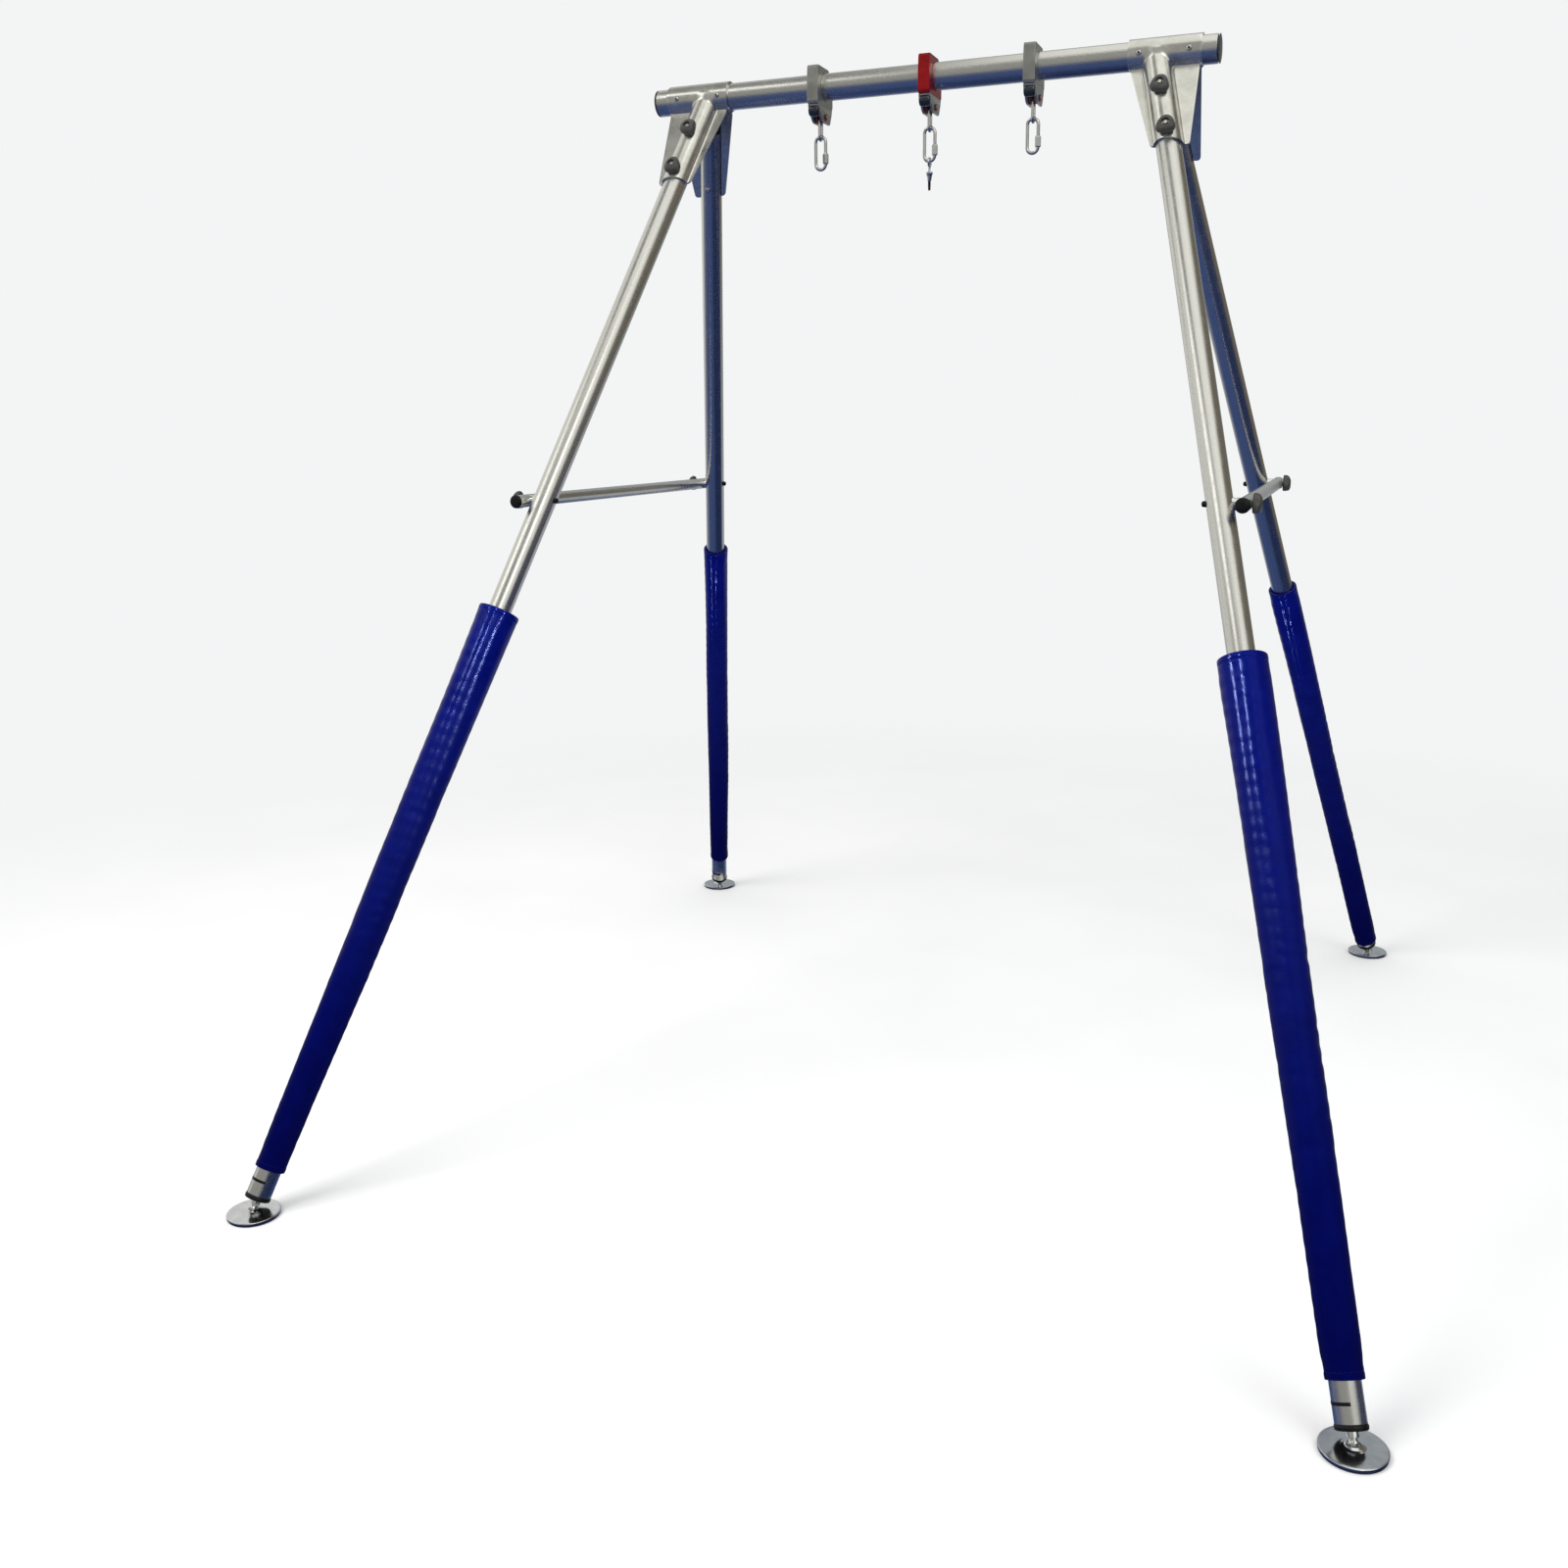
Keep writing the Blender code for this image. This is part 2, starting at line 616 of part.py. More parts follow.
def build_clamp_yoke(side, x):
    yoke = clamp_plate("clamp_yoke", YOKE_OUTLINE, x)
    boolean(yoke, box(
        "gap_" + side, (x - YOKE_SLOT_HALF, -0.1, BEAM_HEIGHT - 0.2),
        (x + YOKE_SLOT_HALF, 0.1, BEAM_HEIGHT - YOKE_SLOT_ROOF)))
    bore(yoke, "bore_pin_" + side, PIN_R + PIN_GAP, (x, PIN_Y, PIN_Z), X_AXIS * 0.05, 12)
    as_part(yoke, "clamp_yoke_" + side, STEEL, 30)


def build_clamp_pin(side, x):
    profile = PIN_PROFILE[::-1] + [(radius, -z) for radius, z in PIN_PROFILE]
    pin = turned("clamp_pin", profile, 12, frame((x, PIN_Y, PIN_Z), X_AXIS, Z_AXIS))
    as_part(pin, "clamp_pin_" + side, BUSH, 30)


# ---------------------------------------------------------------- links
HANGER_R = 0.0032             # hanger link wire
HANGER_BEND = 0.0077
HANGER_DROP = 0.1011          # centre of the lower bend below the beam axis
HANGER_LOW = HANGER_DROP + HANGER_BEND    # wire centre of the lower bend, same datum
QUICK_R = 0.00375             # quick link wire
QUICK_BEND = 0.01175
QUICK_HANG_GAP = 0.00035      # between the quick link and the hanger link
QUICK_BOTTOM = 0.1755         # this and the next four are below the beam axis
QUICK_GAP_TOP = 0.1450        # ends of the wire at the opening
QUICK_GAP_BOTTOM = 0.1540
NUT_TOP = 0.1380
NUT_BOTTOM = 0.1600
NUT_R = 0.0066
NUT_GAP = 0.0007


def build_hanger_link(side, x):
    """Closed oval of wire in the plane across the beam, hung on the pin."""
    oval = (arc(0.0, 0.0, HANGER_BEND, 0, 180, 7)
            + arc(0.0, PIN_DROP - HANGER_DROP, HANGER_BEND, 180, 360, 7))
    hanger = wire("hanger_link", [(0.0, y, z) for y, z in oval], HANGER_R,
                  Matrix.Translation((x, PIN_Y, PIN_Z)), cyclic=True)
    as_part(hanger, "hanger_link_" + side, CHROME, 60)


def build_quick_link(side, x):
    """Open oval of wire along the beam; the sleeve nut closes its gap."""
    top_z = HANGER_R + QUICK_R + QUICK_HANG_GAP - QUICK_BEND
    bottom_z = HANGER_LOW - QUICK_BOTTOM + QUICK_R + QUICK_BEND
    oval = (
        [(QUICK_BEND, HANGER_LOW - QUICK_GAP_TOP)]
        + arc(0.0, top_z, QUICK_BEND, 0, 180, 8)
        + arc(0.0, bottom_z, QUICK_BEND, 180, 360, 8)
        + [(QUICK_BEND, HANGER_LOW - QUICK_GAP_BOTTOM)]
    )
    quick = wire("quick_link", [(across, 0.0, z) for across, z in oval], QUICK_R,
                 Matrix.Translation((x, PIN_Y, BEAM_HEIGHT - HANGER_LOW)), cyclic=False)
    as_part(quick, "quick_link_" + side, CHROME, 60)


def build_sleeve_nut(side, x):
    bottom = Vector((x + QUICK_BEND, PIN_Y, BEAM_HEIGHT - NUT_BOTTOM))
    top = Vector((x + QUICK_BEND, PIN_Y, BEAM_HEIGHT - NUT_TOP))
    overshoot = Z_AXIS * 0.01
    nut = cylinder("sleeve_nut", NUT_R, bottom, top, 6, Y_AXIS)
    boolean(nut, cylinder(
        "bore_nut_" + side, QUICK_R + NUT_GAP, bottom - overshoot, top + overshoot, 8))
    as_part(nut, "sleeve_nut_" + side, STEEL, 30)


# ---------------------------------------------------------------- swivel eye
EYE_R = 0.0025                # ring wire
EYE_BEND = 0.0085
EYE_GAP = 0.0004              # between the ring and the quick link
SWIVEL_PROFILE = [            # radius, height from the ring's lowest wire centre
    (0.0, 0.0005), (0.0024, 0.0), (0.0024, -0.0110), (0.0075, -0.0125),
    (0.0075, -0.0150), (0.0044, -0.0300), (0.0028, -0.0310),
    (0.0028, -0.0480), (0.0016, -0.0500), (0.0, -0.0505),
]


def build_swivel_eye():
    """Ring and turned body; the origin is the centre of the quick link's lowest wire."""
    matrix = Matrix.Translation(
        (CLAMP_X["center"], PIN_Y, BEAM_HEIGHT - QUICK_BOTTOM + QUICK_R))
    ring_z = QUICK_R + EYE_R + EYE_GAP - EYE_BEND
    circle = arc(0.0, ring_z, EYE_BEND, 0, 337.5, 16)
    ring = wire("swivel_ring", [(0.0, y, z) for y, z in circle], EYE_R, matrix, cyclic=True)
    stem_top = ring_z - EYE_BEND
    profile = [(radius, stem_top + z) for radius, z in SWIVEL_PROFILE]
    boolean(ring, turned("swivel_body", profile, 10, matrix), "UNION")
    as_part(ring, "swivel_eye", CHROME, 40)


# ---------------------------------------------------------------- assembly
build_beam()
for side_name, side_sign in SIDES:
    build_beam_plug(side_name, side_sign)
build_brackets()
for build in (build_leg, build_leg_knobs):
    for corner_name, corner_leg in LEGS.items():
        build(corner_name, corner_leg)
for side_name, side_sign in SIDES:
    build_brace(side_name, side_sign)
for build in (build_pad, build_foot_insert, build_foot_stud, build_foot_disc):
    for corner_name, corner_leg in LEGS.items():
        build(corner_name, corner_leg)
for build in (build_clamp_block, build_clamp_yoke, build_clamp_pin,
              build_hanger_link, build_quick_link, build_sleeve_nut):
    for clamp_name, clamp_x in CLAMP_X.items():
        build(clamp_name, clamp_x)
build_swivel_eye()
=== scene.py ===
# A free-standing hanging frame: a fluted beam along X carried by four splayed legs in padded
# covers.  A brace along Y joins the legs of each side, and three clamps under the beam carry
# links, with a swivel eye below.  Metres, +Z up, floor at z = 0, front towards -Y, right at +X.
import json
import math

import bmesh
import bpy
import numpy as np
from mathutils import Matrix, Vector


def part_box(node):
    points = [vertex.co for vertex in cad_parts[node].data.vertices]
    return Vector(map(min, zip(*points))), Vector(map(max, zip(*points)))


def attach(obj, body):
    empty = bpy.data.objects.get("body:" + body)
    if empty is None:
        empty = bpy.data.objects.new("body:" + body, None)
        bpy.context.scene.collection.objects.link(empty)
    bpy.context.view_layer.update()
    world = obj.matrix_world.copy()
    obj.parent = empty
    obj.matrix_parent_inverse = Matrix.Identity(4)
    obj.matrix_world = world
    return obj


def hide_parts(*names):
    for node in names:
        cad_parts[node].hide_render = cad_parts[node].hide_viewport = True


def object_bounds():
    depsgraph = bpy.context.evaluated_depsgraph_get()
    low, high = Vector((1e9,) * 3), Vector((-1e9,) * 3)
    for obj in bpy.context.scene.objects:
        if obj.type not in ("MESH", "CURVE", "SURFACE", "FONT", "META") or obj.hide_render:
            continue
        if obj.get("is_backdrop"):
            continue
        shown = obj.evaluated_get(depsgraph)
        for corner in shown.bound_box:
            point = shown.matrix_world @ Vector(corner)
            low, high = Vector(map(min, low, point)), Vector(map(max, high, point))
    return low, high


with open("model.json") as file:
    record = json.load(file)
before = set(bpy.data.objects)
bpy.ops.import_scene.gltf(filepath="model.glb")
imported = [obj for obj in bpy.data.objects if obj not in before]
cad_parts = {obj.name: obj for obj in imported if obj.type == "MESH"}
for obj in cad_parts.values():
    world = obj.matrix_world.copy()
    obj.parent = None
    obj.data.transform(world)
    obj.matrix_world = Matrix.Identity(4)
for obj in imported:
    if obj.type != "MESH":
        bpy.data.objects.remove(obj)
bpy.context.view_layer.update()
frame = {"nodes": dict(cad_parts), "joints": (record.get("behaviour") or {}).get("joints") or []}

JOINTS = {joint["name"]: joint for joint in frame["joints"]}


def axis_of(joint):
    return np.array(JOINTS[joint]["axis"], float) / np.linalg.norm(JOINTS[joint]["axis"])


def place_of(joint):
    return np.array(JOINTS[joint]["pos_m"], float)


def unit(vector):
    return vector / np.linalg.norm(vector)


# ------------------------------------------------------------------ camera
CAMERA = np.array((0.9964, -3.4217, 1.5797))
YAW, PITCH, ROLL = 0.3740, -0.2355, -0.0145  # radians
ahead = np.array(
    (-math.sin(YAW) * math.cos(PITCH), math.cos(YAW) * math.cos(PITCH), math.sin(PITCH))
)
level = np.array((math.cos(YAW), math.sin(YAW), 0.0))
above = np.cross(level, ahead)
CAM_RIGHT = math.cos(ROLL) * level + math.sin(ROLL) * above
cam_up = -math.sin(ROLL) * level + math.cos(ROLL) * above
camera = bpy.data.objects.new("camera", bpy.data.cameras.new("camera"))
bpy.context.scene.collection.objects.link(camera)
camera.data.sensor_width = 36.0
camera.data.lens = 34.33
camera.data.clip_end = 60.0
camera.matrix_world = Matrix(
    [[*CAM_RIGHT, 0], [*cam_up, 0], [*-ahead, 0], [0, 0, 0, 1]]
).transposed()
camera.location = CAMERA
bpy.context.scene.camera = camera

# ------------------------------------------------------------------ driving dimensions
low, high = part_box("beam_tube")
BEAM_Z = (low.z + high.z) / 2
BEAM_R = (high.z - low.z) / 2
BEAM_HALF = (high.x - low.x) / 2
LEG_R = 0.0254
BRACKET_WALL = 0.004
FIT_GAP = 0.0005
BEAM_BORE = BEAM_R + FIT_GAP  # inner radii of a bracket's two half rounds
LEG_BORE = LEG_R + FIT_GAP
SLEEVE_R = BEAM_BORE + BRACKET_WALL  # their outer radii
PIPE_R = LEG_BORE + BRACKET_WALL
X_SIDES = {"left": -1, "right": 1}
Y_ENDS = {"front": -1, "rear": 1}
UP, ALONG_X, ALONG_Y = (0, 0, 1), (1, 0, 0), (0, 1, 0)


class Leg:
    """A leg's axis: its top on the plane of the beam axis, its direction down and its corner's
    outward normal.  Distances along it are measured from the top."""

    def __init__(self, end, side):
        name = "%s_%s" % (end, side)
        self.x_sign, self.y_sign = X_SIDES[side], Y_ENDS[end]
        self.axis = axis_of("foot_stud_%s_extend" % name)
        self.ball = place_of("foot_disc_%s_tilt" % name)
        self.outward = axis_of("leg_knob_%s_upper_turn" % name)
        self.top = self.ball - self.axis * (self.ball[1] / self.axis[1])

    def at(self, distance):
        return self.top + self.axis * distance

    def measure(self, node):
        """Distance along the axis and radius about it, for each vertex of a node."""
        points = np.array([v.co for v in frame["nodes"][node].data.vertices], float) - self.top
        along = points @ self.axis
        return along, np.linalg.norm(points - along[:, None] * self.axis, axis=1)

    def station(self, node):
        along, _ = self.measure(node)
        return float(along.min()), float(along.max())

    def facing(self, distance):
        """Unit vectors across the leg: towards the camera, and to the viewer's left."""
        to_camera = CAMERA - self.at(distance)
        towards = unit(to_camera - (to_camera @ self.axis) * self.axis)
        left = np.cross(self.axis, towards)
        return towards, -left if left @ CAM_RIGHT > 0 else left


LEGS = {"%s_%s" % (end, side): Leg(end, side) for end in Y_ENDS for side in X_SIDES}


# ------------------------------------------------------------------ frames and paths
def axes(z, hint):
    """Unit x, y and z, with x as near hint as it can be."""
    z = unit(np.array(z, float))
    x = np.array(hint, float)
    x = unit(x - (x @ z) * z)
    return x, np.cross(z, x), z


def frame_of(origin, z, hint=UP):
    """4x4 array whose Z column is z, X as near hint as it can be."""
    if abs(np.array(z, float) @ np.array(hint, float)) > 0.99 * np.linalg.norm(z):
        hint = ALONG_Y
    matrix = np.eye(4)
    matrix[:3, 0], matrix[:3, 1], matrix[:3, 2] = axes(z, hint)
    matrix[:3, 3] = origin
    return matrix


def moved(points, matrix):
    return points @ matrix[:3, :3].T + matrix[:3, 3]


def smooth_step(x, start, end):
    t = np.clip((x - start) / (end - start), 0, 1)
    return t * t * (3 - 2 * t)


def fillet(points, closed=False, steps=4):
    """Rounds the corners of a path of (x, y, radius) points; a radius of 0 keeps the corner."""
    rounded = []
    count = len(points)
    for i, (x, y, radius) in enumerate(points):
        corner = np.array((x, y), float)
        if radius <= 0 or (not closed and i in (0, count - 1)):
            rounded.append(corner)
            continue
        before = np.array(points[i - 1][:2], float) - corner
        after = np.array(points[(i + 1) % count][:2], float) - corner
        before_length, after_length = np.linalg.norm(before), np.linalg.norm(after)
        before, after = before / before_length, after / after_length
        half = math.acos(max(-1.0, min(1.0, float(before @ after)))) / 2
        if abs(half - math.pi / 2) < 1e-3:
            rounded.append(corner)
            continue
        back = min(radius / math.tan(half), 0.48 * before_length, 0.48 * after_length)
        fitted = back * math.tan(half)
        centre = corner + unit(before + after) * (fitted / math.sin(half))
        first = corner + before * back - centre
        last = corner + after * back - centre
        angle = math.atan2(first[1], first[0])
        turn = math.atan2(last[1], last[0]) - angle
        turn = (turn + math.pi) % (2 * math.pi) - math.pi
        for k in range(steps + 1):
            t = angle + turn * k / steps
            rounded.append(centre + fitted * np.array((math.cos(t), math.sin(t))))
    return np.array(rounded)


def arc(height, radius, start, end, count):
    """Points of an arc centred at (0, height), from start to end degrees."""
    t = np.radians(np.linspace(start, end, count))
    return np.stack([radius * np.cos(t), height + radius * np.sin(t)], axis=1)


def stadium(bend, top, bottom):
    """Two half circles of radius bend, centred at heights top and bottom."""
    return np.vstack([arc(top, bend, 0, 180, 16), arc(bottom, bend, 180, 360, 16)])


def spread(path, closed=False, step=0.003):
    """Adds points on long straight spans, so that a swept bar has even rings."""
    points = [np.array(p) for p in path]
    ends = points[1:] + ([points[0]] if closed else [])
    spaced = []
    for p, q in zip(points, ends):
        count = max(1, int(math.ceil(np.linalg.norm(q - p) / step)))
        spaced += [p + (q - p) * k / count for k in range(count)]
    if not closed:
        spaced.append(points[-1])
    return np.array(spaced)


def lengths(path, closed):
    """Distance run at each point of a path, and back at its start when closed."""
    run = np.r_[0.0, np.cumsum(np.linalg.norm(np.diff(path, axis=0), axis=1))]
    return np.r_[run, run[-1] + np.linalg.norm(path[0] - path[-1])] if closed else run


# ------------------------------------------------------------------ meshes
def new_object(name, data):
    obj = bpy.data.objects.new(name, data)
    bpy.context.scene.collection.objects.link(obj)
    return obj


def mesh_from(verts, faces):
    mesh = bpy.data.meshes.new("part")
    mesh.from_pydata([tuple(v) for v in verts], [], faces)
    return mesh


def tidy(mesh, merge=1e-6, collapse=1e-7):
    """Welds coincident points, drops collapsed faces and turns every face outward."""
    bm = bmesh.new()
    bm.from_mesh(mesh)
    bmesh.ops.remove_doubles(bm, verts=bm.verts, dist=merge)
    bmesh.ops.dissolve_degenerate(bm, edges=bm.edges, dist=collapse)
    bmesh.ops.recalc_face_normals(bm, faces=bm.faces)
    bm.to_mesh(mesh)
    bm.free()
    return mesh


def grid_cells(rows, cols, wrap_rows=False, wrap_cols=False):
    """Corners (row, column) of each cell; those past the last row or column wrap round."""
    return [
        [(i, j), (i, j + 1), (i + 1, j + 1), (i + 1, j)]
        for i in range(rows if wrap_rows else rows - 1)
        for j in range(cols if wrap_cols else cols - 1)
    ]


def cell_faces(cells, rows, cols):
    return [[i % rows * cols + j % cols for i, j in cell] for cell in cells]


def grid(points, along, around, wrap_rows=False, wrap_cols=False, cap_rows=False, cap_cols=False):
    """Mesh of a rows x columns array of points.  along and around are the texture coordinates
    of rows and columns in metres, with one more where the grid closes on itself."""
    rows, cols = points.shape[:2]
    cells = grid_cells(rows, cols, wrap_rows, wrap_cols)
    if cap_rows:
        cells += [[(i, j) for j in range(cols)] for i in (0, rows - 1)]
    if cap_cols:
        cells += [[(i, j) for i in range(rows)] for j in (0, cols - 1)]
    mesh = mesh_from(points.reshape(-1, 3), cell_faces(cells, rows, cols))
    uv = [(along[i], around[j]) for cell in cells for i, j in cell]
    layer = mesh.uv_layers.new(name="along")
    layer.data.foreach_set("uv", np.asarray(uv, np.float32).ravel())
    return tidy(mesh)


def lathe(profile, segments, matrix, closed=False, sector=None, shape=None):
    """Revolves (radius, height, fillet) points about local Z.  closed joins the last to the
    first, sector limits the turn to two angles in degrees, and shape(radius, height, angle)
    varies the radius."""
    path = fillet(profile, closed)
    angles = np.radians(np.linspace(*(sector or (0, 360)), segments + 1))
    t = angles if sector else angles[:-1]
    radius, height = path[:, 0][:, None], path[:, 1][:, None]
    reach = shape(radius, height, t[None, :]) if shape else radius * np.ones((1, len(t)))
    points = np.stack(
        [reach * np.cos(t), reach * np.sin(t), height * np.ones((1, len(t)))], axis=-1
    )
    widest = max(0.002, float(path[:, 0].max()))
    return grid(
        moved(points, matrix), lengths(path, closed), angles * widest,
        wrap_rows=closed, wrap_cols=not sector, cap_cols=bool(sector),
    )


def tube_profile(radius, wall, start, end, fillets):
    """Closed profile; fillets are for outer start, outer end, inner end and inner start."""
    inner = radius - wall
    corners = ((radius, start), (radius, end), (inner, end), (inner, start))
    return [(*corner, rounding) for corner, rounding in zip(corners, fillets)]


def collar_profile(inner, outer, start, end, rounding):
    """Closed profile of a short ring, rounded on its outer edges."""
    return [(inner, start, 0), (outer, start, rounding), (outer, end, rounding), (inner, end, 0)]


def sweep(path, radius, segments, closed=False):
    """Round bar along a path of 3-D points, with flat ends when it is open."""
    if closed:
        tangents = np.roll(path, -1, 0) - np.roll(path, 1, 0)
    else:
        tangents = np.gradient(path, axis=0)
    tangents /= np.linalg.norm(tangents, axis=1)[:, None]
    normal = np.array(UP if abs(tangents[0][2]) < 0.9 else ALONG_X, float)
    angles = np.linspace(0, 2 * math.pi, segments + 1)
    rings = []
    for point, tangent in zip(path, tangents):
        normal = unit(normal - (normal @ tangent) * tangent)
        side = np.cross(tangent, normal)
        rings.append(
            [point + radius * (math.cos(a) * normal + math.sin(a) * side) for a in angles[:-1]]
        )
    return grid(
        np.array(rings), lengths(path, closed), angles * radius,
        wrap_rows=closed, wrap_cols=True, cap_rows=not closed,
    )


def plate(outline, thickness, bevel, matrix, holes=()):
    """Flat piece with rounded edges: outline of (x, y, fillet) points, extruded evenly both
    ways, with round holes given as (x, y, radius)."""
    curve = bpy.data.curves.new("plate", "CURVE")
    curve.dimensions = "2D"
    curve.fill_mode = "BOTH"
    curve.extrude = thickness / 2 - bevel
    curve.bevel_depth = bevel
    curve.bevel_resolution = 3
    curve.offset = -bevel
    rings = [fillet(outline, True, 5)]
    t = np.linspace(0, 2 * math.pi, 40, endpoint=False)
    for x, y, radius in holes:
        rings.append(np.stack([x + radius * np.cos(t), y + radius * np.sin(t)], axis=1))
    for ring in rings:
        spline = curve.splines.new("POLY")
        spline.points.add(len(ring) - 1)
        for point, (x, y) in zip(spline.points, ring):
            point.co = (x, y, 0.0, 1.0)
        spline.use_cyclic_u = True
    obj = new_object("plate_curve", curve)
    bpy.context.view_layer.update()
    graph = bpy.context.evaluated_depsgraph_get()
    mesh = bpy.data.meshes.new_from_object(obj.evaluated_get(graph))
    bpy.data.objects.remove(obj, do_unlink=True)
    mesh.transform(Matrix(matrix.tolist()))
    return tidy(mesh)


def joined(meshes, materials=None):
    """One mesh from several, with a slot for each different entry of materials."""
    bm = bmesh.new()
    slots = []
    for k, mesh in enumerate(meshes):
        start = len(bm.faces)
        bm.from_mesh(mesh)
        bm.faces.ensure_lookup_table()
        if materials:
            if materials[k] not in slots:
                slots.append(materials[k])
            for face in bm.faces[start:]:
                face.material_index = slots.index(materials[k])
    merged = bpy.data.meshes.new("joined")
    bm.to_mesh(merged)
    bm.free()
    for material in slots:
        merged.materials.append(material)
    return merged


def piece(name, mesh, body, material=None, replaces=None, sharp=40, weighted=False):
    """Puts a finished mesh in the scene, riding on a CAD body.  sharp is the edge angle in
    degrees above which shading breaks."""
    obj = new_object(name, mesh)
    mesh.name = name
    if material is not None:
        mesh.materials.clear()
        mesh.materials.append(material)
    mesh.shade_smooth()
    mesh.set_sharp_from_angle(angle=math.radians(sharp))
    if weighted:
        modifier = obj.modifiers.new("even_normals", "WEIGHTED_NORMAL")
        modifier.keep_sharp = True
        modifier.weight = 90
    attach(obj, body)
    if replaces:
        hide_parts(replaces)
    return obj


# ------------------------------------------------------------------ shader nodes
class Nodes:
    """Adds nodes to an emptied tree.  Values may be sockets or numbers."""

    def __init__(self, tree, interpolation="LINEAR"):
        self.tree = tree
        self.interpolation = interpolation
        tree.nodes.clear()

    def add(self, kind, **props):
        node = self.tree.nodes.new(kind)
        for key, value in props.items():
            setattr(node, key, value)
        return node

    def join(self, source, target):
        self.tree.links.new(source, target)

    def put(self, socket, value):
        if hasattr(value, "is_output"):
            self.join(value, socket)
        else:
            socket.default_value = value

    def fit(self, value, low, high, to=(0.0, 1.0)):
        """Maps the range low..high onto to, clamped."""
        node = self.add("ShaderNodeMapRange", interpolation_type=self.interpolation)
        self.join(value, node.inputs["Value"])
        for key, limit in zip(("From Min", "From Max", "To Min", "To Max"), (low, high, *to)):
            node.inputs[key].default_value = limit
        return node.outputs["Result"]

    def maths(self, operation, *values):
        node = self.add("ShaderNodeMath", operation=operation)
        for socket, value in zip(node.inputs, values if len(values) > 1 else (*values, 0.0)):
            self.put(socket, value)
        return node.outputs[0]

    def times(self, a, b):
        return self.maths("MULTIPLY", a, b)

    def plus(self, a, b):
        return self.maths("ADD", a, b)

    def blend(self, factor, a, b):
        """From colour a at factor 0 to colour b at 1."""
        node = self.add("ShaderNodeMix", data_type="RGBA")
        self.put(node.inputs["Factor"], factor)
        for key, colour in (("A", a), ("B", b)):
            self.put(node.inputs[key], colour if hasattr(colour, "is_output") else (*colour, 1.0))
        return node.outputs["Result"]


class Shader(Nodes):
    """A Principled material built from nodes."""

    def __init__(self, name):
        self.material = bpy.data.materials.new(name)
        self.material.use_nodes = True
        super().__init__(self.material.node_tree)
        self.surface = self.add("ShaderNodeBsdfPrincipled")
        self.output = self.add("ShaderNodeOutputMaterial")
        self.join(self.surface.outputs[0], self.output.inputs[0])

    def scaled(self, vector, scale):
        node = self.add("ShaderNodeMapping")
        self.join(vector, node.inputs["Vector"])
        node.inputs["Scale"].default_value = scale
        return node.outputs[0]

    def uv(self, along, around):
        node = self.add("ShaderNodeUVMap", uv_map="along")
        return self.scaled(node.outputs[0], (along, around, 1.0))

    def space(self):
        return self.scaled(self.add("ShaderNodeTexCoord").outputs["Object"], (1, 1, 1))

    def noise(self, vector, scale=1.0, detail=3.0, rough=0.55, distortion=0.0):
        node = self.add("ShaderNodeTexNoise")
        self.join(vector, node.inputs["Vector"])
        node.inputs["Scale"].default_value = scale
        node.inputs["Detail"].default_value = detail
        node.inputs["Roughness"].default_value = rough
        node.inputs["Distortion"].default_value = distortion
        return node.outputs["Fac"]

    def bump(self, height, strength, distance, over=None):
        node = self.add("ShaderNodeBump")
        self.join(height, node.inputs["Height"])
        node.inputs["Strength"].default_value = strength
        node.inputs["Distance"].default_value = distance
        if over is not None:
            self.join(over, node.inputs["Normal"])
        return node.outputs[0]

    def finish(self, **sockets):
        for key, value in sockets.items():
            self.put(self.surface.inputs[key.replace("_", " ")], value)
        return self.material


def shade(colour, factor):
    return tuple(factor * c for c in colour)


# ------------------------------------------------------------------ materials
def satin_tube():
    """Satin aluminium tube: fine drawing lines along its length, faint handling marks."""
    s = Shader("satin_tube")
    dark, light = (0.68, 0.67, 0.635), (0.78, 0.775, 0.74)
    lines = s.noise(s.uv(along=3.0, around=1500.0), rough=0.7)
    broad = s.noise(s.uv(along=0.7, around=160.0), detail=2.0, rough=0.5)
    marks = s.noise(s.space(), scale=34.0, detail=5.0, rough=0.65, distortion=0.6)
    nicks = s.noise(s.uv(along=120.0, around=900.0), detail=2.0, rough=0.5)
    nicks = s.fit(nicks, 0.72, 0.80)
    drawn = s.plus(s.times(lines, 0.6), s.times(broad, 0.4))
    colour = s.blend(s.fit(drawn, 0.35, 0.65), dark, light)
    colour = s.blend(s.times(nicks, 0.22), colour, shade(dark, 0.55))
    rough = s.plus(s.fit(drawn, 0.3, 0.7, to=(0.21, 0.28)), s.fit(marks, 0.45, 0.75, to=(0, 0.09)))
    normal = s.bump(lines, strength=0.30, distance=0.00005)
    return s.finish(Base_Color=colour, Metallic=1.0, Roughness=rough, Normal=normal)


